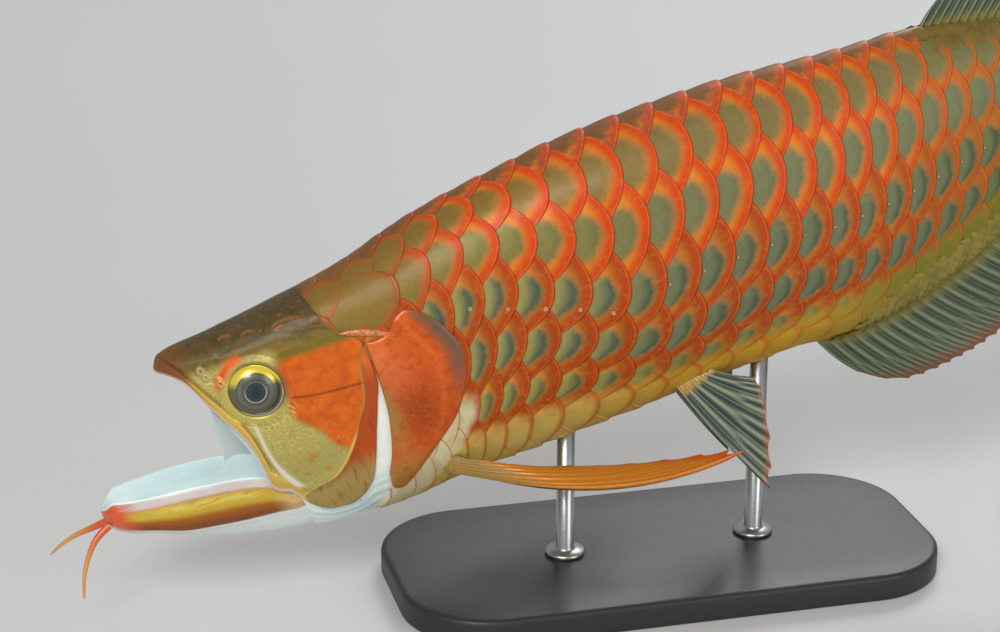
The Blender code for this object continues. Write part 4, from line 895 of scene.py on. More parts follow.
# Lower jaw
JAW_REAR_X = 36.0
JAW_TIP_X = -43.0
JAW_OVERLAP = 4.0       # how far the jaw runs on beneath the throat
JAW_LIP = smooth_table((-43, -51.5), (-25, -53.5), (-8, -55), (9, -57.5), (21, -60.5), (29, -64), (36, -70))
JAW_EDGE = smooth_table((-43, -56), (-35, -60.5), (-21, -65), (-9, -69), (4, -71.5), (17, -74), (36, -77))
JAW_KEEL = smooth_table((-43, -58), (-41, -62), (-37, -65), (-23, -70.5), (-7, -77.5), (16, -87), (36, -91.8))
JAW_FLOOR = smooth_table((-43, -54), (-38, -56), (-23, -61), (-7, -67), (16, -74), (36, -80))
JAW_HALF_WIDTH = smooth_table((-43, 3.6), (-41.5, 6.8), (-38, 10), (-28, 14.2), (-8, 17.4), (6, 17.6),
                              (20, 16.6), (29, 16.0), (36, 16.4))
JAW_FLANGE = 4.6
JAW_LINING_END = 4.6   # the ring's control at which the pale lining meets the lip


def jaw_ring(x):
    """The near half of the jaw's section at x, from the mouth's floor over the lip to the keel."""
    half = float(JAW_HALF_WIDTH(x))
    lip, edge = float(JAW_LIP(x)), float(JAW_EDGE(x))
    keel, floor = float(JAW_KEEL(x)), float(JAW_FLOOR(x))
    wall = min(2.6, 0.4 * half)
    flange = JAW_FLANGE * float(smoothstep(-43, -36, x) * (1 - smoothstep(26, 35, x)))
    half_ring = [(0, floor), (0.45 * (half - wall), floor + 0.1 * (lip - floor)),
                 (0.85 * (half - wall), floor + 0.45 * (lip - floor)), (half - wall, lip + 0.6 * flange),
                 (half - 0.7 * wall, lip + flange), (half - 0.25 * wall, lip + 0.3 * flange),
                 (half, lip - 0.15 * (lip - edge)), (half + 0.3, lip - 0.55 * (lip - edge)),
                 (half - 0.8, edge), (0.83 * half, edge + 0.22 * (keel - edge)),
                 (0.5 * half, edge + 0.72 * (keel - edge)), (0, keel)]
    spots = np.arange(len(half_ring))
    fine = np.linspace(0, len(half_ring) - 1, 58)
    y, z = (smooth_table(*zip(spots, column))(fine) for column in zip(*half_ring))
    return np.column_stack([np.full(len(fine), x), -y, z]), fine


def lower_jaw(shell, skin_look, lining_look):
    stations = JAW_TIP_X + (JAW_REAR_X + JAW_OVERLAP - JAW_TIP_X) * np.linspace(0, 1, 74) ** 1.3
    rings, spots = zip(*(jaw_ring(min(x, JAW_REAR_X)) for x in stations))
    points = np.array(rings)
    points[:, :, 0] = stations[:, None]
    spot = spots[0]
    lining = spot <= JAW_LINING_END
    last = int(lining.sum())
    tip = points[:1] * np.array([1, .05, 1])
    tip[..., 2] = points[0, :, 2].mean() + (points[0, :, 2] - points[0, :, 2].mean()) * .3
    tip[..., 0] -= 0.8
    points = np.concatenate([tip, points])
    for part, look in ((slice(0, last), lining_look), (slice(last - 1, None), skin_look)):
        shell.grid(points[:, part], look, zone=(spot[part], 0, 0), both=True)


def tube(shell, look, route, radius, taper, steps=40, around=16):
    """A tapered tube along a route of straight-fish points, its end rounded."""
    share = np.linspace(0, 1, len(route))
    t = np.linspace(0, 1, steps)
    line = np.stack([smooth_table(*zip(share, column))(t) for column in zip(*route)], axis=-1)
    ahead = np.gradient(line, axis=0)
    ahead /= np.linalg.norm(ahead, axis=1, keepdims=True)
    side = np.cross(ahead, (0, 0.2, 1.0))
    side /= np.linalg.norm(side, axis=1, keepdims=True)
    up = np.cross(side, ahead)
    size = radius * (1 - taper * t) * np.sqrt(np.clip((1.004 - t) / 0.03, 0, 1))
    turn = circle(around)
    ring = side[:, None] * np.cos(turn)[None, :, None] + up[:, None] * np.sin(turn)[None, :, None]
    points = line[:, None] + ring * size[:, None, None]
    shell.grid(points, look, (0, t[:, None], 0), closed=True, flip=True)


BARBEL_RADIUS = 1.8
BARBEL_ROUTES = {
    "barbel_left": ((-42.4, -3.2, -59.0), (-49, -5.5, -62), (-55.5, -8, -68.5), (-60, -10, -76),
                    (-63, -11, -84)),
    "barbel_right": ((-42.4, 3.2, -59.0), (-50, 5.5, -60.5), (-58, 8, -62), (-66, 10, -64.5),
                     (-73, 11.5, -68)),
}


# Eyes
def eyeball():
    """Points of the eye's dome, in rings about its middle."""
    centre = skin(np.array([EYE_CENTRE[0]]), np.array([EYE_CENTRE[1]]))[0] + np.array([0, EYE_INSET, 0])
    polar = np.linspace(0, 1.0, 40) * math.pi / 2
    polar, turn = np.meshgrid(polar, circle(96), indexing="ij")
    points = centre + np.stack([EYE_RADIUS * np.sin(polar) * np.cos(turn), -EYE_DEPTH * np.cos(polar),
                                EYE_RADIUS * np.sin(polar) * np.sin(turn)], axis=-1)
    return points


# Fins: widths are in steps from one ray to the next
POINTS_PER_RAY = 8
RAY_WIDTH = 0.2
FORK_SPREAD = 0.22
FORK_WIDTH = 0.13


def seated(points, lift):
    """The points of the near side's skin, raised by lift, that lie closest to given points."""
    x = np.broadcast_to(points[:, :1], (len(points), len(ROW_SAMPLES)))
    samples = body_surface(x, np.broadcast_to(ROW_SAMPLES, x.shape))
    row = ROW_SAMPLES[np.argmin(np.linalg.norm(samples - points[:, None], axis=2), axis=1)]
    return body_surface(points[:, 0], row, lift)


def fin(shell, look, rays, root, bend, tip, thickness, steps=40, lift=None, both=False, wave=0.0, notch=.035,
        split_from=.45):
    """A fin: each ray is a ridge of both faces that forks towards the margin, its web thin between."""
    share = np.linspace(0, 1, POINTS_PER_RAY * (rays - 1) + 1)
    turn = share * (rays - 1)
    off = turn - np.round(turn)
    start, middle, end = (np.array([f(s) for s in share], float) for f in (root, bend, tip))
    t = np.linspace(0, 1, steps)[None, :]
    single = np.exp(-(off / RAY_WIDTH) ** 2)[:, None]
    forked = (np.exp(-((abs(off) - FORK_SPREAD) / FORK_WIDTH) ** 2))[:, None]
    fork = smoothstep(split_from, split_from + .3, t)
    profile = single * (1 - fork) + forked * fork
    reach = (t * (1 - notch * (1 - single[:, :1]) * smoothstep(.8, 1, t)))[..., None]
    sheet = (1 - reach) ** 2 * start[:, None] + 2 * reach * (1 - reach) * middle[:, None] \
        + reach ** 2 * end[:, None]
    across, along = np.gradient(sheet, axis=0), np.gradient(sheet, axis=1)
    normal = np.cross(across, along)
    normal /= np.linalg.norm(normal, axis=2, keepdims=True)
    sheet = sheet + normal * (wave * np.sin(share * 17 + 1)[:, None] * t ** 1.5)[..., None]
    ray, web = thickness(share[:, None], t)
    half = (web + (ray - web) * profile)
    half = half * (1 - .65 * smoothstep(.93, 1, t))
    off, t = np.broadcast_arrays(off[:, None], t)
    edges = []
    for way in (1, -1):
        face = sheet + way * half[..., None] * normal
        if lift is not None:
            face[:, 0] = seated(face[:, 0], lift - 0.5)
        edges.append(face)
        shell.grid(face, look, (off, t, 0), both=both, flip=way < 0)
    for cut, flip in ((np.s_[0, :], True), (np.s_[-1, :], False), (np.s_[:, -1], False)):
        strip = np.stack([edges[0][cut], edges[1][cut]])
        shell.grid(strip, look, (off[cut], t[cut], 0), both=both, flip=flip)


def vane(ray_root, ray_tip, web=.26, lead=0.0):
    """Half thickness of a fin's rays and of the web between them."""
    def value(share, t):
        leading = lead * (1 - 0.6 * t) * np.exp(-(share / 0.06) ** 2)
        return ray_root + (ray_tip - ray_root) * t + leading, web + 0.1 * (1 - t) + leading
    return value


FIN_LIFT = 0.65
PAIRED_LIFT = 0.75
DORSAL_BASE = (366.0, 442.0)
ANAL_BASE = (279.0, 440.0)
DORSAL_LENGTH = smooth_table((0, 17), (.05, 26), (.15, 36), (.4, 46), (.7, 52), (.9, 45), (1, 30))
DORSAL_ANGLE = smooth_table((0, 40), (.3, 38), (1, 24))
ANAL_LENGTH = smooth_table((0, 27), (.03, 37), (.08, 43), (.3, 46), (.5, 50), (.75, 55), (.92, 50), (1, 34))
ANAL_ANGLE = smooth_table((0, 60), (.1, 54), (.3, 49), (.6, 42), (1, 24))
BEND_TURN, TIP_TURN = 7, -3        # degrees that a median fin's rays turn at their middle and tip
PELVIC_TIPS = ((232, -28, -146), (236, -26, -137), (240, -24, -124), (243, -21, -112), (244, -18, -103),
               (243, -16, -98))
PECTORAL_LEAD = ((101, -20.5, -85), (160, -62, -114), (215, -76, -102))
PECTORAL_REACH = smooth_table((0, 1.0), (.17, .95), (.35, .84), (.55, .69), (.8, .52), (1, .40))
PECTORAL_INWARD = smooth_table((0, 0), (.17, 6), (.35, 12), (.55, 17), (.8, 20), (1, 21))


def median_fin(shell, look, rays, base, length, angle, upward, thickness):
    """The dorsal or the anal fin: rays of a length and an angle that change along its base."""
    def root(s):
        x = base[0] + (base[1] - base[0]) * s
        return (x, 0, float(TOP(x)) + FIN_LIFT - 2 if upward > 0 else float(BOTTOM(x)) - FIN_LIFT + 2)

    def at(s, reach, turn):
        x, _, z = root(s)
        lean = math.radians(float(angle(s)) + turn)
        size = reach * (float(length(s)) + 1)
        return (x + size * math.cos(lean), 0, z + upward * size * math.sin(lean))
    fin(shell, look, rays, root, lambda s: at(s, 0.5, BEND_TURN), lambda s: at(s, 1.0, TIP_TURN),
        thickness, wave=0.9)


def caudal_fin(shell, look):
    """The rounded tail fin."""
    top, bottom = float(TOP(BODY_LENGTH)), float(BOTTOM(BODY_LENGTH))

    def at(s, reach):
        spread = 1 - 2 * s
        lean = math.radians(26 * spread - 4)
        size = reach * (76 - 15 * abs(spread) ** 3)
        z = (top + bottom) / 2 + spread * ((top - bottom) / 2 - 1.5)
        return (BODY_LENGTH - 1 + size * math.cos(lean), 0, z + size * math.sin(lean) * 1.15)
    fin(shell, look, 16, lambda s: at(s, 0.0), lambda s: at(s, 0.5), lambda s: at(s, 1.0),
        vane(1.2, .5), steps=48, wave=1.0, split_from=.3)


def pelvic_fins(shell, look):
    tips = [smooth_table(*zip(np.linspace(0, 1, len(PELVIC_TIPS)), column)) for column in zip(*PELVIC_TIPS)]

    def root(s):
        return body_surface(np.array([210 + 17 * s]), 6.25 - 0.25 * s, PAIRED_LIFT)[0]

    def tip(s):
        return np.array([float(column(s)) for column in tips])

    def bend(s):
        away = np.array([-1.5 + 2 * s, -2.5, -2.0])
        return (root(s) + tip(s)) / 2 + away * (1 - 0.4 * s)
    fin(shell, look, 6, root, bend, tip, vane(.8, .42, .26, .5), lift=PAIRED_LIFT, both=True, split_from=.25)


def pectoral_fins(shell, look):
    lead = np.array(PECTORAL_LEAD, float)

    def root(s):
        return skin(np.array([101.5 + 6.0 * s]), -84.0 + 5.5 * s, PAIRED_LIFT)[0]

    def tip(s):
        reach = float(PECTORAL_REACH(s))
        along = (1 - reach) ** 2 * lead[0] + 2 * reach * (1 - reach) * lead[1] + reach ** 2 * lead[2]
        return along + np.array([0.2, 1.0, 0.12]) * float(PECTORAL_INWARD(s))

    def bend(s):
        reach = float(PECTORAL_REACH(s))
        mid = (1 - reach) * lead[0] + reach * lead[1]
        return mid + np.array([0.1, 0.45, 0.25]) * float(PECTORAL_INWARD(s))
    fin(shell, look, 7, root, bend, tip, vane(1.0, .4, .3, 1.1), steps=70, lift=PAIRED_LIFT, both=True,
        split_from=.5)


# Finishes
def scale_finish():
    f = Finish("scaled_skin")
    fish, x, _, z = f.channel("fish")
    _, across, from_edge, seed = f.channel("scale")
    row = f.channel("zone")[1]
    cloud = f.noise(fish, 7.0, 3.0)
    mottle = f.noise(fish, 2.4, 3.0, .6)
    fine = f.noise(fish, .9, 3.0, .65)
    toward_tail = x.step(300, 400)
    shoulder = 1 - x.step(150, 235)
    nape = (1 - x.step(100, 150)) * (1 - row.step(1.7, 3.0))
    back = 1 - row.step(.1, .9)
    # the centre of each scale: a D open to the front, its size by row
    breadth = row.curve((0, .58), (1, .56), (2, .50), (3, .46), (4, .45), (5, .40), (6, .26), (7, .1))
    reach = row.curve((0, .64), (1, .60), (2, .55), (3, .52), (4, .52), (5, .46), (6, .22), (7, .05))
    breadth = breadth + toward_tail * .06 + nape * .2
    reach = reach + toward_tail * .16 + nape * .28 + (seed - .5) * .08
    off_x = (across - .03) / breadth
    off_e = (from_edge - .86).least(0.0) / reach
    q = off_x * off_x + off_e * off_e + (cloud - .5) * .8 + (mottle - .5) * .5 + (fine - .5) * .25
    centre = 1 - q.step(.3, 1.5)
    colour_out = f.coats(
        (216, 88, 8),
        # from row 2 down the rims darker and less golden: painted shade, light from above falling off towards
        # the belly
        ((156, 66, 4), row.step(1.7, 3.4)),
        ((226, 150, 44), from_edge.step(.16, .55) * (.62 - row.step(2.2, 3.4) * .36)),
        ((206, 50, 6), from_edge.step(.40, .05) * (1 - row.step(2.0, 3.4) * .6) * .7),
        # pale tan along the front border at the upper corners, strongest on the shoulder: painted highlight
        ((232, 160, 62), from_edge.step(.42, .8) * across.step(.1, -.32) * (.3 + shoulder * .55)
         * (1 - back)),
        ((190, 122, 36), mottle.step(.48, .72) * .45),
        ((150, 84, 58), back * mottle.step(.62, .38) * .7),
        ((168, 98, 22), toward_tail * .75),
        ((150, 88, 34), nape * .8))
    colour_out = f.shade(colour_out, .82 + cloud * .36)
    olive = f.coats(
        (136, 106, 44),
        ((132, 124, 66), row.step(1.0, 2.2) * (1 - nape)),
        ((112, 120, 88), row.step(2.2, 3.2)),
        ((146, 138, 66), row.step(4.2, 5.4) * .7),
        # lighter tan at the front of the centres on the shoulder: painted highlight along the front border
        ((176, 160, 76), shoulder * row.step(1.9, 2.6) * from_edge.step(.6, .95) * .7),
        ((98, 106, 56), toward_tail * .65),
        ((114, 120, 88), x.step(150, 260) * row.step(.5, 1.5) * (1 - row.step(2.4, 3.2)) * .75),
        ((126, 78, 46), back * .75))
    olive = f.shade(olive, .74 + mottle * .36 + f.noise(f.place(x, 0.0, z * .22), 1.3, 2.0) * .22)
    colour = f.paint(colour_out, olive, centre)
    dusk = q.bell(.5, .34) * (1 - from_edge.step(.5, .8)) * row.step(1.5, 2.8) * (1 - nape)
    colour = f.paint(colour, (46, 66, 50), dusk * .62)
    dark_core = q.step(.5, .1) * row.step(2.4, 3.2) * (1 - toward_tail) * (1 - shoulder * .7)
    colour = f.paint(colour, (66, 84, 70), dark_core * mottle * .4)
    # a thin dark red line along the free edge, partly the edge's own colour and partly painted shadow, and just
    # ahead of it a thin painted highlight
    edge_line_and_shadow = 1 - from_edge.step(.006, .03)
    colour = f.coats(
        colour,
        ((150, 42, 12), edge_line_and_shadow * (.48 - nape * .15) * (1 - row.step(5.6, 6.6) * .5)),
        ((246, 140, 50), from_edge.bell(.055, .022) * .22 * (1 - nape)))
    colour = f.shade(colour, .9 + fine * .2)
    colour = f.paint(colour, (168, 66, 20), (1 - x.step(90, 96)) * z.bell(-27, 9))
    # belly, and the base of the anal fin
    low = z + (cloud - .5) * 8 \
        - x.curve((80, 9), (150, 6), (200, 2), (260, 0), (300, 1), (360, 12), (420, 30), (480, 44))
    belly = low.step(-75, -86)
    gold = f.coats(
        (206, 160, 46),
        ((122, 118, 30), x.step(255, 330)),
        ((222, 196, 112), (1 - x.step(140, 225)) * .7),
        ((200, 96, 26), from_edge.step(.22, .05) * (.72 - x.step(240, 330) * .42)
         * (1 - row.step(6.2, 6.8) * .6)))
    gold = f.shade(gold, .85 + mottle * .3)
    colour = f.paint(colour, gold, belly * .95)
    # the white breast below and behind the gill cover
    pale_edge = z.curve((-92, 92), (-86, 99), (-80, 107), (-74, 114), (-68, 119), (-62, 122), (-56, 125),
                        (-50, 126), (-44, 125))
    pale_front = (x - pale_edge + (cloud - .5) * 5).step(1, -5.0) * z.step(-50, -60)
    pale = f.paint((216, 208, 170), (196, 172, 112), cloud.step(.35, .8) * .7)
    colour = f.paint(colour, pale, pale_front * (.95 - from_edge.step(.10, .03) * .6))
    roughness = .5 + (fine - .5) * .22 + nape * .08
    height = fine * .07 + mottle * .10 + (from_edge * 70.0).sine() * .008 - from_edge.bell(.0, .02) * .04
    return f.done(colour, roughness, .12 + centre * .1, f.bump(height, .9), .1, .2, specular=.22)


def base_scale_finish():
    f = Finish("base_scale_skin")
    place = f.own_place()
    along = f.node("ShaderNodeAttribute", {"attribute_name": "along"}, out=2)
    cloud = f.noise(place, .008, 3.0)
    fine = f.noise(place, .0011, 3.0, .6)
    on_back = f.node("ShaderNodeVectorMath", {"operation": "DOT_PRODUCT"}, place, (-.32, 0, 1)).step(.14, .17)
    colour = f.coats(
        (146, 132, 46),
        ((112, 108, 40), cloud.step(.35, .7)),
        (f.paint((122, 104, 44), (96, 86, 38), cloud.step(.35, .7)), on_back))
    colour = f.shade(colour, .88 + fine * .24)
    tip = along.step(.86, .96) * cloud.step(.25, .6)
    colour = f.paint(colour, f.paint((164, 112, 36), (176, 84, 28), on_back), tip * (.35 + on_back * .4))
    return f.done(colour, .42 + (fine - .5) * .2, .1, f.bump(fine * .08, .9), .15, .2, specular=.3)


def pore_finish():
    f = Finish("pore_skin")
    place = f.own_place()
    fine = f.noise(place, .0008, 3.0, .6)
    colour = f.paint((178, 128, 84), (206, 178, 134), fine.step(.35, .65))
    return f.done(colour, .4 + (fine - .5) * .2, 0.0, f.bump(fine * .08, .8), .2, .15, specular=.35)


def head_finish():
    f = Finish("head_skin")
    fish, x, _, z = f.channel("fish")
    lip = f.channel("zone")[2]
    cloud = f.noise(fish, 6.0, 3.0)
    fine = f.noise(fish, 1.1, 3.0, .6)
    wobble = (cloud - .5) * 5
    level = z + wobble
    eye_x, eye_z = x - EYE_CENTRE[0], z - EYE_CENTRE[1]
    from_eye = (eye_x * eye_x + eye_z * eye_z) ** .5
    # crown, brow and snout
    colour = f.coats(
        (122, 104, 34),
        ((86, 72, 34), level.step(-7, 5)),
        ((78, 64, 38), level.step(5, 10) * .6 * x.step(10, 40)))
    blotch = f.noise(fish, 3.2, 4.0, .7)
    colour = f.coats(
        colour,
        ((128, 84, 44), blotch.step(.52, .66) * level.step(-8, -2) * .55),
        ((52, 48, 28), blotch.step(.46, .36) * level.step(-8, -2) * .5),
        ((126, 78, 30), (1 - (x + wobble).step(4, 22)) * .8))
    marks = f.noise(f.stretched(fish, .45, .8, 1.0), 2.4, 1.0)
    colour = f.paint(colour, (196, 84, 30), marks.step(.62, .72) * z.bell(4, 6) * x.step(28, 52) * .8)
    colour = f.shade(colour, .8 + cloud * .4)
    # gold round the eye and down the lower cheek
    gold = f.paint((172, 156, 78), (222, 210, 128), f.noise(fish, .75, 2.0, .6).step(.2, .85))
    cheek_left = z.curve((-90, 74), (-66, 72), (-57, 66), (-50, 60), (-42, 55), (-33, 48.5), (-26, 49),
                         (-12, 49.5), (0, 50))
    lower = (x + wobble * .5 - cheek_left).step(3.0, -2.5)
    before = (1 - (z + wobble * .4).step(-8, -2))
    colour = f.coats(
        colour,
        (gold, (lower * before).least(1.0) * .92),
        ((168, 156, 84), z.step(-44, -58) * lower * .55))
    # orange cheek
    from_ridge = x - z.curve((-90, 30), (-72, 40), (-69, 46), (-67, 55), (-63, 61), (-58, 65.5), (-52, 70),
                             (-46, 73.5), (-39, 78), (-30, 80.5), (-22, 82), (-15, 85.5), (-8, 88))
    before_ridge = from_ridge.step(.8, -.8)
    cheek = (x + wobble * 1.1 + (fine - .5) * 2 - cheek_left).step(-2.5, 2.5) \
        * (z + wobble * .35).step(-8.5, -12) * before_ridge
    orange = f.coats(
        (226, 104, 8),
        ((196, 80, 4), cloud.step(.25, .8) * .8),
        ((196, 150, 70), fine.step(.56, .7) * .6 * z.step(-20, -44)),
        ((178, 62, 4), f.noise(fish, 3.0, 3.0).step(.45, .75) * .35))
    colour = f.paint(colour, orange, cheek * .95)
    spots = f.noise(fish, 3.4, 2.0).step(.58, .68)
    colour = f.paint(colour, (206, 108, 26), spots * lower * z.bell(-60, 7) * x.bell(50, 9) * .85)
    # behind the cheek ridge
    behind = from_ridge.step(-.2, 1.4)
    band = f.coats(
        (180, 74, 18),
        ((222, 104, 40), level.step(-32, -20)),
        ((178, 150, 84), z.step(-58, -72)),
        ((118, 48, 18), f.noise(f.place(x, 0.0, z * .3), 2.2, 2.0).step(.5, .72) * .5))
    colour = f.coats(
        colour,
        (band, behind * z.step(-12, -17)),
        ((226, 160, 84), from_ridge.bell(0.1, .5) * z.step(-12, -30) * .4),
        ((240, 206, 96), from_ridge.bell(0.1, .8) * z.step(-48, -56) * .85))
    # upper jaw: a strip from orange to gold, a pale lip edge, and a white groove behind it
    from_groove = x - z.curve((-67, 41.5), (-62, 38), (-55, 35), (-45, 33), (-33, 32), (-28, 30.5))
    jaw = (1 - lip.step(7.6, 8.6)) * (1 - from_groove.step(-.6, .2) * z.step(-30, -34)) \
        * (1 - x.step(40, 42))
    strip = f.coats(
        (128, 78, 38),
        ((212, 168, 80), z.step(-3, -26)),
        ((226, 196, 92), (lip + wobble * .3).bell(6.0, 2.0) * z.step(-4, -10) * .8))
    colour = f.coats(
        colour,
        (strip, jaw * .9),
        ((232, 206, 190), (1 - lip.step(1.2, 2.6)) * jaw * z.step(-2, -7)),
        ((226, 180, 150), (1 - lip.step(.6, 1.6)) * jaw * .8))
    groove = (from_groove.bell(0, .8) + (from_groove - .4).bell(0, 1.5) * z.step(-50, -62)).least(1.0) \
        * z.step(-30, -35) * z.step(-68, -65)
    colour = f.coats(
        colour,
        ((232, 226, 208), groove),
        ((120, 70, 30), lip.bell(8.5, .6) * (1 - z.step(-30, -36)) * jaw.most(.6) * .5 * z.step(-4, -8)))
    fold = lip.step(FOLD_MARK - 100, FOLD_MARK - 50)
    colour = f.paint(colour, f.paint((196, 96, 44), (226, 160, 118), fine.step(.35, .7)), fold * .85)
    # patch before the eye, lid ring, seams
    patch = from_eye.bell(15.4, 1.9) * (1 - x.step(34, 38)) * z.step(-17, -11)
    colour = f.paint(colour, (232, 96, 34), patch)
    pleats = f.noise(f.place(eye_x * .9 + eye_z * .5, eye_z * .22, 0.0), .9, 2.0).step(.5, .62)
    pleats = pleats * from_eye.bell(16.6, 2.6) * (eye_z + 3).step(0, -5) * (1 - (x - 48).step(0, 5))
    colour = f.paint(colour, (246, 220, 104), pleats * .85)
    ring = from_eye.bell(12.2, 1.1)
    lid = f.paint((214, 192, 84), (104, 98, 60), (eye_z * .6 + eye_x * .8).step(-6, 6))
    colour = f.paint(colour, lid, ring * .6)
    iris = f.paint((96, 96, 72), (232, 206, 66), (eye_z + eye_x * .2).step(1.5, 6.5))
    colour = f.coats(
        colour,
        (iris, 1 - from_eye.step(11.1, 11.4)),
        ((206, 202, 172), from_eye.bell(10.9, .3) * (eye_z - eye_x * .2).step(-1, -6) * .8),
        ((58, 50, 28), from_eye.bell(11.45, .3) * .75))
    for mark in CROWN_MARKS:
        first, last = mark[0][0], mark[-1][0]
        above = z - x.curve(*mark)
        line = above.bell(-.25, .5) * x.step(first - .8, first + .8) * x.step(last + .8, last - .8)
        colour = f.coats(
            colour,
            ((176, 108, 62), line * fine.step(.2, .6) * .55),
            ((60, 42, 24), above.bell(.75, .4) * line.least(1.0) * .5))
    suture = (z - x.curve((48, -25.5), (60, -28.5), (70, -29.6), (81, -30.2))).bell(0, .5) * x.step(49, 52) \
        * before_ridge
    canal = (z - x.curve((26, 0), (40, 1), (52, 2), (62, -1), (70, -2), (76, -4.5))).bell(0, .55) \
        * x.step(27, 31) * (1 - x.step(74, 77))
    colour = f.coats(
        colour,
        ((110, 40, 14), suture * .75),
        ((70, 56, 30), canal * .6))
    for cx, cz, radius in NOSTRILS:
        dx, dz = x - cx, (z - cz) * (1 / NOSTRIL_STRETCH)
        away = (dx * dx + dz * dz) ** .5
        colour = f.coats(
            colour,
            ((206, 186, 130), away.bell(radius * .95, radius * .45) * fine.step(.15, .5) * .75),
            ((122, 104, 66), (1 - away.step(radius * .3, radius * .55)) * .7))
    metallic = .1 + .35 * (lower * before).least(1.0) * (1 - cheek)
    crown = level.step(-9, -3) * (1 - cheek)
    folds = f.node("ShaderNodeTexNoise", {"noise_type": "RIDGED_MULTIFRACTAL"},
                   f.stretched(fish, .5, .8, 1.0), .22, 3.0)
    height = fine * .10 + cloud * .2 - suture * .3 - canal * .25 \
        + crown * (folds * 1.1 + marks * 1.2 + cloud * 1.2)
    colour = f.shade(colour, 1 - crown * folds.step(.9, 1.6) * .22)
    return f.done(colour, .38 + (fine - .5) * .2 + crown * .22, metallic, f.bump(height, 1.0), .14, .16,
                  specular=.26)


def cover_finish():
    f = Finish("gill_cover_skin")
    fish, x, _, z = f.channel("fish")
    _, share, inside, _ = f.channel("zone")
    cloud = f.noise(fish, 9.0, 3.0)
    fine = f.noise(fish, 1.3, 3.0, .6)
    colour = f.coats(
        (220, 92, 12),
        ((172, 66, 6), (cloud * .5 + x.bell(100, 12) * z.bell(-50, 16) * .6).step(.25, .9)),
        ((176, 132, 52), fine.step(.5, .7) * .4 * (1 - x.step(98, 112))),
        # lighter orange and pinkish patches on the upper front of the cover: painted sheen
        ((236, 122, 60), x.bell(90, 8) * z.bell(-22, 9) * .8),
        ((232, 112, 72), x.bell(96, 6) * z.bell(-34, 8) * .5),
        ((158, 128, 56), x.bell(87, 4.2) * z.bell(-50, 16) * (.5 + cloud)),
        ((170, 52, 8), f.noise(fish, 3.6, 3.0).step(.48, .66) * .4),
        ((168, 130, 62), (z + (cloud - .5) * 12).step(-64, -76) * .8),
        ((190, 96, 34), f.noise(fish, 4.0, 2.0).step(.56, .66) * z.step(-66, -74)))
    # soft rim behind the bone
    rim = (inside + (cloud - .5) * 2).step(-2.5, -6.5)
    colour = f.coats(
        colour,
        ((140, 88, 58), rim * (z - x * .2).step(-84, -58) * .85),
        ((104, 90, 74), (inside.step(-6, -9.5)) * (z - x * .2).step(-76, -48) * .8),
        ((238, 140, 70), inside.bell(-.3, 1.4) * .18))
    edge = share.step(.965, .995)
    colour = f.paint(colour, (176, 96, 52), edge * .6)
    rays = (f.noise(f.place((z + 34) / (x - 70), 0.0, 0.0), .05, 1.0) - .5)
    colour = f.shade(colour, .92 + rays * .3 + (fine - .5) * .18)
    height = fine * .08 + cloud * .25 + rays * .16
    return f.done(colour, .36 + (fine - .5) * .16, .15, f.bump(height, .8), .22, .12, specular=.26)


def jaw_finish():
    f = Finish("jaw_skin")
    fish, x, _, z = f.channel("fish")
    spot = f.channel("zone")[1]
    fine = f.noise(fish, 1.2, 3.0, .6)
    streak = f.noise(f.place(x * .12, 0.0, z), 1.0, 2.0)
    colour = f.coats(
        (214, 180, 54),
        ((176, 98, 22), spot.step(6.6, 7.2)),
        ((126, 66, 26), spot.step(7.2, 7.7) * .8),
        ((226, 168, 110), 1 - spot.step(5.5, 5.85)),
        ((232, 222, 214), 1 - spot.step(5.2, 5.55)),
        ((222, 230, 226), spot.step(7.85, 8.15)),
        ((226, 196, 138), x.step(26, 37) * (1 - spot.step(7.8, 8.2)) * .7),
        ((120, 62, 26), spot.bell(7.85, .1) * (1 - x.step(14, 24)) * .7),
        ((214, 84, 34), (1 - (x + (streak - .5) * 8).step(-37, -26)) * (1 - spot.step(8.6, 9.4) * .5)))
    colour = f.shade(colour, .86 + streak * .28)
    gold = (1 - spot.step(7.4, 8.2)) * x.step(-38, -26)
    # a bright streaked gold band just below the lip: painted highlight
    colour = f.paint(colour, (246, 222, 110), spot.bell(6.1, .35) * x.step(-28, -12) * (1 - x.step(18, 28)) *
                     streak.step(.3, .55) * .8)
    return f.done(colour, .3 + (fine - .5) * .15, gold * .55, f.bump(fine * .08 + streak * .12, .8), .4, .1)


def lining_finish():
    f = Finish("pale_skin")
    fish, x, _, z = f.channel("fish")
    fine = f.noise(fish, 1.6, 3.0, .6)
    cloud = f.noise(fish, 26.0, 1.0)
    corner = f.channel("zone")[3].step(2.0, 2.6)
    colour = f.coats(
        (234, 243, 241),
        ((208, 231, 231), cloud.step(.3, .75)),
        # the folds in the mouth's corners brownish grey above and pale below: painted shade inside the mouth
        (f.paint((178, 150, 136), (204, 214, 212), z.step(-20, -38)), corner * .85),
        ((238, 240, 226), x.step(62, 84) * .8))
    above = z.step(-35, -28) * x.step(76, 80)
    colour = f.paint(colour, (196, 74, 22), above)
    folds = f.noise(f.place(x * .16, 0.0, z), 1.6, 2.0)
    colour = f.shade(colour, .9 + folds * .18)
    return f.done(colour, .36, 0.0, f.bump(fine * .10 + folds * .25, .7), .35, .12)


def barbel_finish():
    f = Finish("barbel_skin")
    fish = f.channel("fish")[0]
    along = f.channel("scale")[2]
    colour = f.paint((214, 92, 34), (208, 148, 74), along.step(.15, .6))
    fine = f.noise(fish, .9, 2.0)
    colour = f.shade(colour, .85 + fine * .3)
    return f.done(colour, .35, 0.0, f.bump(fine * .15, .8), .3, .15)


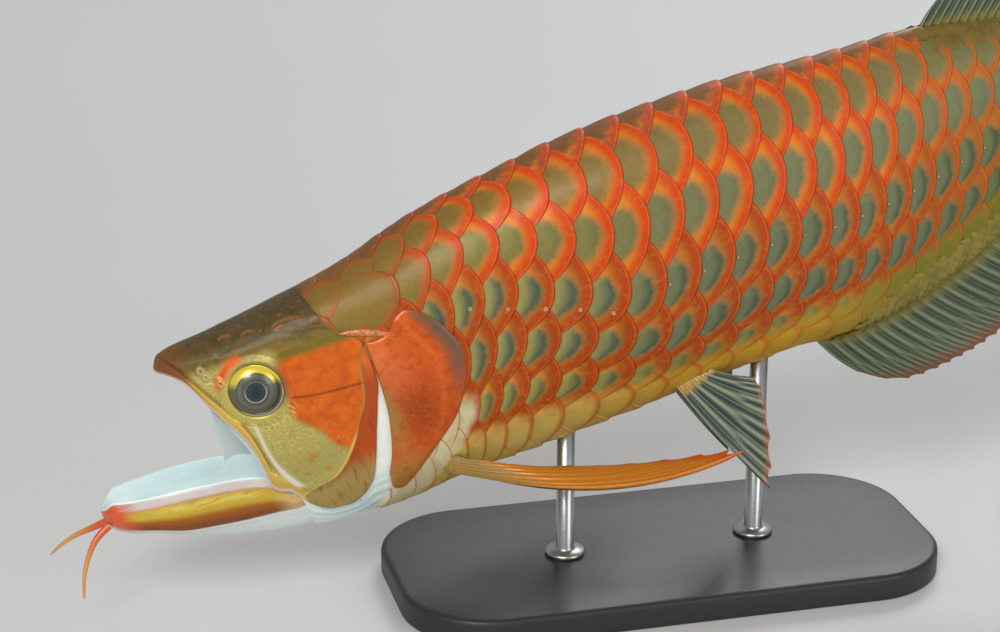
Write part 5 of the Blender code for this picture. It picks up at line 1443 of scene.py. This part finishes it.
def fin_finish(name, web, ray, margin, root, fade=(.72, 1.0), root_end=.22, gloss=.34):
    f = Finish(name)
    fish = f.channel("fish")[0]
    off, along = f.channel("scale")[1:3]
    fork = along.step(.45, .75)
    single = off.bell(0, .17)
    forked = (off.size() - FORK_SPREAD).bell(0, .10)
    rays = single * (1 - fork) + forked * fork
    fine = f.noise(fish, 2.0, 3.0, .6)
    colour = f.coats(
        web,
        (ray, rays * .9),
        (margin, (along + (fine - .5) * .2).step(*fade) * .8),
        (root, (along + (fine - .5) * .16).step(root_end, root_end * .3) * .85))
    joints = ((along * 120.0).sine() * .5 + .5) * rays * along.step(.2, .4)
    colour = f.shade(colour, .88 + fine * .24 - joints * .10)
    height = joints * -.08 + fine * .05
    return f.done(colour, gloss + (fine - .5) * .12, .05, f.bump(height, .8), .2, .15, specular=.35)


def eye_finish():
    f = Finish("eye_glass")
    _, x, _, z = f.channel("fish")
    dx, dz = x - EYE_CENTRE[0] + .4, z - EYE_CENTRE[1] - .4
    radius = (dx * dx + dz * dz) ** .5
    angle = dz.maths("ARCTAN2", dx)
    streaks = f.noise(f.place(angle * 3.0, radius * .12, 0.0), .25, 2.0)
    colour = f.coats(
        (14, 26, 30),
        ((30, 58, 62), radius.step(1.0, 3.6)),
        (f.paint((206, 172, 146), (120, 116, 96), dz.step(-2, 3)), radius.step(4.15, 4.4)),
        ((84, 88, 78), radius.step(4.5, 4.9)),
        ((122, 122, 104), radius.bell(6.9, .8) * .6),
        ((92, 98, 90), radius.bell(6.0, .3) * .3),
        ((98, 98, 76), radius.step(8.0, 8.6) * .9))
    crescent = radius.step(7.9, 8.6) * (dz + dx * .2).step(1.5, 5.5)
    colour = f.paint(colour, (240, 214, 70), crescent)
    colour = f.shade(colour, .85 + streaks * .3)
    metallic = radius.step(4.0, 4.6) * .35
    return f.done(colour, .3, metallic, None, .6, .02, specular=.3)


def board_finish():
    f = Finish("board_paint")
    place = f.own_place()
    fine = f.noise(place, .0016, 3.0, .6)
    cloud = f.noise(place, .03, 2.0)
    colour = f.shade((34, 35, 38), .8 + cloud * .4)
    return f.done(colour, .42 + fine * .16, 0.0, f.bump(fine * .06, .6), .1, .2)


def steel_finish():
    f = Finish("rod_steel")
    place = f.own_place()
    split = f.node("ShaderNodeSeparateXYZ", {}, place)
    height = Wire(f, split.socket.node.outputs[2])
    brush = f.noise(f.place(split * .1, 0.0, height), .0006, 2.0)
    colour = f.shade((186, 188, 190), .85 + brush * .3)
    return f.done(colour, .22 + brush * .16, 1.0, f.bump(brush * .03, .6))


def floor_finish():
    f = Finish("floor")
    place = f.own_place()
    cloud = f.noise(place, .4, 2.0)
    colour = f.shade((206, 207, 206), .98 + cloud * .04)
    return f.done(colour, .6, 0.0)


# Stand
BOARD_CORNER = 0.34 * BASE_WIDTH
# Rings of the board from below to the top: (how far in from the outline, height)
BOARD_RINGS = ((60, 0), (1.2, 0), (.5, .25), (.1, .9), (0, 1.8), (0, 9.6), (.25, 10.7), (.9, 11.5),
               (1.9, 11.9), (3, 12), (20, 12), (45, 12))
# Half section of a rod's foot: (radius, height)
ROD_FOOT = [(0, 11.9), (9.0, 11.9), (9.0, 13.6), (8.4, 14.3), (5.0, 14.5), (4.4, 14.9), (ROD_RADIUS, 15.6)]
ROD_IN_BELLY = 12.0


def board(shell, look):
    """The flat board, its edges softly rounded, turned to lie along the fish."""
    turn = circle(160)
    quarter = np.floor(turn / (math.pi / 2)).astype(int)
    cx = (BASE_LENGTH / 2 - BOARD_CORNER) * np.where((quarter == 0) | (quarter == 3), 1, -1)
    cy = (BASE_WIDTH / 2 - BOARD_CORNER) * np.where(quarter < 2, 1, -1)
    rings = []
    for inset, z in BOARD_RINGS:
        size = max(BOARD_CORNER - inset, 0)
        shrink = max(inset - BOARD_CORNER, 0)
        x = np.sign(cx) * np.maximum(abs(cx) - shrink, 0) + size * np.cos(turn)
        y = np.sign(cy) * np.maximum(abs(cy) - shrink, 0) + size * np.sin(turn)
        rings.append(np.stack([x, y, np.full(len(turn), float(z))], axis=-1))
    points = np.array(rings)
    middle = np.zeros_like(points[:2])
    middle[1, :, 2] = BASE_THICKNESS
    points = np.concatenate([middle[:1], points, middle[1:]])
    c, s = math.cos(BASE_HEADING), math.sin(BASE_HEADING)
    turned = points @ np.array([[c, s, 0], [-s, c, 0], [0, 0, 1]])
    shell.grid(turned, look, closed=True, flip=True)


def rod(shell, look, station):
    """An upright rod with a small flange, from the board up into the belly."""
    top = belly_point(station) - ORIGIN
    turn = circle(48)
    end = top[2] + ROD_IN_BELLY
    profile = np.array(ROD_FOOT + [(ROD_RADIUS, end), (0, end)])
    points = np.stack([top[0] + profile[:, :1] * np.cos(turn), top[1] + profile[:, :1] * np.sin(turn),
                       profile[:, 1:] + 0 * turn], axis=-1)
    shell.grid(points, look, closed=True, flip=True)


def in_metres(points):
    return points * MM


# What repeats: Geometry Nodes set a small piece at every place, turned and sized by what the place carries
def spots(name, places, ahead, out, size):
    """A mesh of places in metres, each with the turn that lays a piece's y ahead and its z outward."""
    mesh = bpy.data.meshes.new(name)
    mesh.vertices.add(len(places))
    mesh.vertices.foreach_set("co", places.astype(np.float32).ravel())
    turns = []
    for a, o in zip(ahead, out):
        a, o = Vector(a).normalized(), Vector(o).normalized()
        across = a.cross(o).normalized()
        turns.append(Matrix((across, o.cross(across), o)).transposed().to_quaternion())
    for label, kind, values in (("turn", "QUATERNION", turns), ("size", "FLOAT", size)):
        attribute = mesh.attributes.new(label, kind, "POINT")
        attribute.data.foreach_set("value", np.array(values, np.float32).ravel())
    return linked(name, mesh)


class Tree:
    """A Geometry Nodes tree under construction."""

    def __init__(self, name, inputs):
        self.group = bpy.data.node_groups.new(name, "GeometryNodeTree")
        face = self.group.interface
        face.new_socket("Places", in_out="INPUT", socket_type="NodeSocketGeometry")
        for label, value in inputs.items():
            face.new_socket(label, in_out="INPUT", socket_type="NodeSocketFloat").default_value = value
        face.new_socket("Made", in_out="OUTPUT", socket_type="NodeSocketGeometry")
        self.inputs = self.node("NodeGroupInput", {})

    def node(self, kind, settings, **values):
        made = self.group.nodes.new(kind)
        for key, value in settings.items():
            setattr(made, key, value)
        for key, value in values.items():
            sockets = [s for s in made.inputs if s.enabled and s.name.replace(" ", "_") == key]
            number = 0
            if not sockets:
                key, number = key.rsplit("_", 1)
                sockets = [s for s in made.inputs if s.enabled and s.name.replace(" ", "_") == key]
            self.feed(sockets[int(number)], value)
        return made

    def feed(self, socket, value):
        if isinstance(value, bpy.types.NodeSocket):
            self.group.links.new(value, socket)
        else:
            socket.default_value = value

    def maths(self, operation, first, second=0.0, third=0.0):
        made = self.node("ShaderNodeMath", {"operation": operation})
        for socket, value in zip(made.inputs, (first, second, third)):
            self.feed(socket, value)
        return made.outputs[0]

    def named(self, name, kind):
        made = self.node("GeometryNodeInputNamedAttribute", {"data_type": kind}, Name=name)
        return next(s for s in made.outputs if s.enabled and s.name == "Attribute")

    def finish(self, piece, look):
        copies = self.node("GeometryNodeInstanceOnPoints", {}, Points=self.inputs.outputs["Places"],
                           Instance=piece, Rotation=self.named("turn", "QUATERNION"),
                           Scale=self.named("size", "FLOAT"))
        whole = self.node("GeometryNodeRealizeInstances", {}, Geometry=copies.outputs[0])
        coloured = self.node("GeometryNodeSetMaterial", {}, Geometry=whole.outputs[0], Material=look)
        self.node("NodeGroupOutput", {}, Made=coloured.outputs[0])
        return self.group


def small_scale_tree(look):
    """A small lapped scale: a grid narrowed to a rounded free end, crowned, its free end raised."""
    tree = Tree("small_scale", {"Width": 1.1, "Lift": 0.11, "Crown": 0.16})
    width, lift, crown = (tree.inputs.outputs[k] for k in ("Width", "Lift", "Crown"))
    sheet = tree.node("GeometryNodeMeshGrid", {}, Size_X=1.0, Size_Y=1.0, Vertices_X=7, Vertices_Y=6).outputs[0]
    place = tree.node("GeometryNodeInputPosition", {}).outputs[0]
    split = tree.node("ShaderNodeSeparateXYZ", {}, Vector=place)
    x, y = split.outputs[0], split.outputs[1]
    along = tree.maths("ADD", y, 0.5)
    sheet = tree.node("GeometryNodeStoreNamedAttribute", {"data_type": "FLOAT", "domain": "POINT"},
                      Geometry=sheet, Name="along", Value=along).outputs[0]
    outward = tree.maths("MULTIPLY", x, x)
    bowed = tree.maths("MULTIPLY", outward, -1.3)
    new_y = tree.maths("MULTIPLY_ADD", bowed, along, y)
    new_x = tree.maths("MULTIPLY", x, width)
    rise = tree.maths("MULTIPLY", along, lift)
    lip = tree.maths("MULTIPLY", tree.maths("POWER", along, 10.0), tree.maths("MULTIPLY", lift, 0.9))
    sides = tree.maths("MULTIPLY", outward, crown)
    new_z = tree.maths("SUBTRACT", tree.maths("SUBTRACT", rise, lip), sides)
    spot = tree.node("ShaderNodeCombineXYZ", {}, X=new_x, Y=new_y, Z=new_z).outputs[0]
    shaped = tree.node("GeometryNodeSetPosition", {}, Geometry=sheet, Position=spot).outputs[0]
    smooth = tree.node("GeometryNodeSetShadeSmooth", {}, Geometry=shaped).outputs[0]
    return tree.finish(smooth, look)


def pore_tree(look):
    """A pore of the lateral line: a low soft ring about a dimple."""
    tree = Tree("pore_ring", {"Radius": 0.75, "Thickness": 0.3})
    radius, thickness = (tree.inputs.outputs[k] for k in ("Radius", "Thickness"))
    path = tree.node("GeometryNodeCurvePrimitiveCircle", {}, Resolution=16, Radius=radius).outputs[0]
    profile = tree.node("GeometryNodeCurvePrimitiveCircle", {}, Resolution=8, Radius=thickness).outputs[0]
    ring = tree.node("GeometryNodeCurveToMesh", {}, Curve=path, Profile_Curve=profile).outputs[0]
    smooth = tree.node("GeometryNodeSetShadeSmooth", {}, Geometry=ring).outputs[0]
    return tree.finish(smooth, look)


def grown(name, places, tree, slot, **sizes):
    """Run a tree over the places, its inputs set by name, and keep the plain mesh that it makes."""
    modifier = places.modifiers.new("grow", "NODES")
    modifier.node_group = tree
    for socket in tree.interface.items_tree:
        if socket.in_out == "INPUT" and socket.name in sizes:
            modifier[socket.identifier] = sizes[socket.name]
    graph = bpy.context.evaluated_depsgraph_get()
    mesh = bpy.data.meshes.new_from_object(places.evaluated_get(graph))
    mesh.name = name
    places.modifiers.remove(modifier)
    bpy.data.objects.remove(places)
    made = linked(name, mesh)
    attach(made, "root")
    return made


def skin_frames(x, row, lift):
    """Places on the body's skin in metres, with the directions towards the tail and outward there."""
    here = posed(body_surface(x, row, lift))
    tailward = posed(body_surface(x + 0.5, row, lift)) - here
    outward = posed(body_surface(x, row, lift + 1.0)) - here
    return here, tailward, outward


# Rows of small scales: (row round the body, first station, last station, step, change of row with x)
BASE_ROWS = [(row, 289 + 2.2 * (k % 2) + 8 * k, 436 - 6 * k, 4.4, -0.0015)
             for k, row in enumerate((6.74, 6.46, 6.17, 5.86, 5.54))]
BASE_ROWS += [(row, 364 + 2.4 * (k % 2), 440, 4.6, 0.0) for k, row in enumerate((0.40, 0.74))]
BASE_SCALE_LIFT = 0.52
PORE_LIFT = 0.72


def on_both_sides(x, row):
    return np.concatenate([x, x]), np.concatenate([row, ROWS - row])


def base_scales(look):
    """Small scales in lapped rows along the bases of the anal and dorsal fins."""
    stations = [np.arange(first, last, step) for _, first, last, step, _ in BASE_ROWS]
    rows = [row + lean * (x - 283) for x, (row, _, _, _, lean) in zip(stations, BASE_ROWS)]
    x, row = on_both_sides(np.concatenate(stations), np.concatenate(rows))
    size = (6.1 - 1.5 * smoothstep(300, 430, x) + 0.6 * smoothstep(6.2, 5.5, folded(row))) * MM
    here, tailward, outward = skin_frames(x, row, BASE_SCALE_LIFT)
    return grown("fin_base_scales", spots("base_scale_places", here, tailward, outward, size),
                 small_scale_tree(look), "scales", Width=1.2, Lift=0.08, Crown=0.17)


# Places of the first pores in side view; the rest lie along the middle row, between two stations
PORES = [(133, -16), (148, -22), (163, -28), (177, -34), (190, -41)]
MIDDLE_ROW = 3
MIDDLE_ROW_PORES = (202, 455)


def line_pores(look):
    """The pores of the lateral line: down from the gill cover, then one to each scale of the middle row."""
    first = np.array(PORES, float)
    rest = scale_x(np.arange(SCALE_COLUMNS) - 0.42, MIDDLE_ROW)
    rest = rest[(rest > MIDDLE_ROW_PORES[0]) & (rest < MIDDLE_ROW_PORES[1])]
    x = np.concatenate([first[:, 0], rest])
    row = np.concatenate([row_at(first[:, 0], first[:, 1]), np.full(len(rest), float(MIDDLE_ROW))])
    x, row = on_both_sides(x, row)
    here, tailward, outward = skin_frames(x, row, PORE_LIFT)
    size = (1.0 - 0.45 * smoothstep(180, 230, x)) * MM
    return grown("lateral_line_pores", spots("pore_places", here, tailward, outward, size), pore_tree(look),
                 "scales", Radius=0.62, Thickness=0.4)


# The pieces
FLESH = ("head", "torso", "tail", "throat", "lower_jaw", "gill_cover_left", "gill_cover_right")


SCALED, BARE, COVER, JAW, PALE = range(5)      # the skin's looks, in the order of its materials


def dress():
    fish = Shell()
    scaled_trunk(fish, SCALED)
    trunk_ends(fish, SCALED)
    head_shell(fish, BARE, PALE)
    face_details(fish, BARE)
    nape_plates(fish, SCALED)
    cover_fold(fish, BARE)
    mouth_corners(fish, PALE)
    gill_cover(fish, COVER)
    lower_jaw(fish, JAW, PALE)
    gill_slit(fish, PALE)
    throat(fish, PALE)
    fish.build("arowana_skin", [scale_finish(), head_finish(), cover_finish(), jaw_finish(), lining_finish()],
               "scales", FLESH)

    base_scales(base_scale_finish())
    line_pores(pore_finish())

    glass = eye_finish()
    for name, way in (("eye_left", 1), ("eye_right", -1)):
        eye = Shell()
        eye.grid(eyeball() * (1, way, 1), closed=True, flip=way > 0)
        eye.build(name + "_ball", [glass], "eye", [name])

    barbels = barbel_finish()
    for name, route in BARBEL_ROUTES.items():
        feeler = Shell()
        tube(feeler, 0, route, BARBEL_RADIUS, .72)
        feeler.build(name + "_feeler", [barbels], "fin_amber", [name])

    grey = fin_finish("fin_grey_green", (44, 58, 42), (122, 130, 98), (120, 66, 40),
                      (118, 112, 44))
    amber = fin_finish("fin_amber", (196, 116, 26), (214, 140, 46), (206, 70, 22),
                       (146, 126, 66), fade=(.84, 1.0), root_end=.4)
    teal = fin_finish("fin_teal", (36, 58, 58), (156, 158, 130), (182, 92, 48),
                      (176, 142, 66), fade=(.9, 1.05), root_end=.12)
    dorsal, anal, caudal, pectoral, pelvic = (Shell() for _ in range(5))
    median_fin(dorsal, 0, 19, DORSAL_BASE, DORSAL_LENGTH, DORSAL_ANGLE, 1, vane(1.1, .42))
    dorsal.build("dorsal_fin_vane", [grey], "fin_grey", ["dorsal_fin"])
    median_fin(anal, 0, 29, ANAL_BASE, ANAL_LENGTH, ANAL_ANGLE, -1, vane(1.1, .42))
    anal.build("anal_fin_vane", [grey], "fin_grey", ["anal_fin"])
    caudal_fin(caudal, 0)
    caudal.build("caudal_fin_vane", [grey], "fin_grey", ["caudal_fin"])
    pectoral_fins(pectoral, 0)
    pectoral.build("pectoral_fin_vanes", [amber], "fin_amber", ["pectoral_fin_left", "pectoral_fin_right"])
    pelvic_fins(pelvic, 0)
    pelvic.build("pelvic_fin_vanes", [teal], "fin_grey", ["pelvic_fin_left", "pelvic_fin_right"])

    base = Shell()
    board(base, 0)
    base.build("stand_board", [board_finish()], "stand_board", ["stand_base"], in_metres)
    steel = steel_finish()
    for name, station in ROD_STATIONS.items():
        upright = Shell()
        rod(upright, 0, station)
        upright.build(name + "_steel", [steel], "stand_steel", [name], in_metres)


dress()


# Floor, lights and camera
LIT_PLACE = (0, 0, 0.15)
LIGHTS = (("key", (-1.1, -3.4, 2.8), 112, 1.7, (1, 1, 1)),
          ("fill", (3.0, -2.6, 1.3), 34, 2.0, (1.0, 0.97, 0.92)),
          ("rim", (0.8, 3.2, 2.6), 60, 1.6, (0.97, 0.98, 1.0)))
FLOOR_REACH = 12
WORLD_STRENGTH = 0.35


def area_light(name, place, power, size, colour):
    light = bpy.data.lights.new(name, "AREA")
    light.energy, light.size, light.color = power, size, colour
    made = linked(name, light)
    made.location = place
    made.rotation_euler = (Vector(LIT_PLACE) - Vector(place)).to_track_quat("-Z", "Y").to_euler()


def stage():
    """The floor, the world's light and the lamps."""
    mesh = bpy.data.meshes.new("floor")
    corners = [(x * FLOOR_REACH, y * FLOOR_REACH, 0) for x, y in ((-1, -1), (1, -1), (1, 1), (-1, 1))]
    mesh.from_pydata(corners, [], [(0, 1, 2, 3)])
    mesh.materials.append(floor_finish())
    linked("floor", mesh)
    world = bpy.data.worlds.new("studio")
    world.use_nodes = True
    colour, strength = world.node_tree.nodes["Background"].inputs[:2]
    colour.default_value, strength.default_value = (1.0, 1.0, 1.0, 1), WORLD_STRENGTH
    bpy.context.scene.world = world
    for light in LIGHTS:
        area_light(*light)


PHOTO_SIZE = (1000, 632)
CAMERA_DOWN = math.radians(20.0)
CAMERA_FOCUS = 2400.0       # focal length in the photo's pixels
CAMERA_DISTANCE = 1.02
SENSOR_WIDTH = 36.0
SNOUT_PIXEL = (153.0, 368.0)


def aim_camera():
    """The photo's camera: level in roll, looking down, with the snout on its pixel."""
    right = np.array([1.0, 0, 0])
    up = np.array([0, math.sin(CAMERA_DOWN), math.cos(CAMERA_DOWN)])
    ahead = np.array([0, math.cos(CAMERA_DOWN), -math.sin(CAMERA_DOWN)])
    aside = (SNOUT_PIXEL[0] - PHOTO_SIZE[0] / 2) / CAMERA_FOCUS * CAMERA_DISTANCE
    above = -(SNOUT_PIXEL[1] - PHOTO_SIZE[1] / 2) / CAMERA_FOCUS * CAMERA_DISTANCE
    place = -(right * aside + up * above + ahead * CAMERA_DISTANCE) - ORIGIN * MM
    camera = bpy.data.cameras.new("camera")
    camera.sensor_width = SENSOR_WIDTH
    camera.lens = SENSOR_WIDTH * CAMERA_FOCUS / PHOTO_SIZE[0]
    camera.clip_start = 0.01
    made = linked("camera", camera)
    axes = np.eye(4)
    axes[:3, 0], axes[:3, 1], axes[:3, 2], axes[:3, 3] = right, up, -ahead, place
    made.matrix_world = Matrix(axes.tolist())
    bpy.context.scene.camera = made


stage()
aim_camera()
bpy.context.scene.view_settings.view_transform = "Standard"
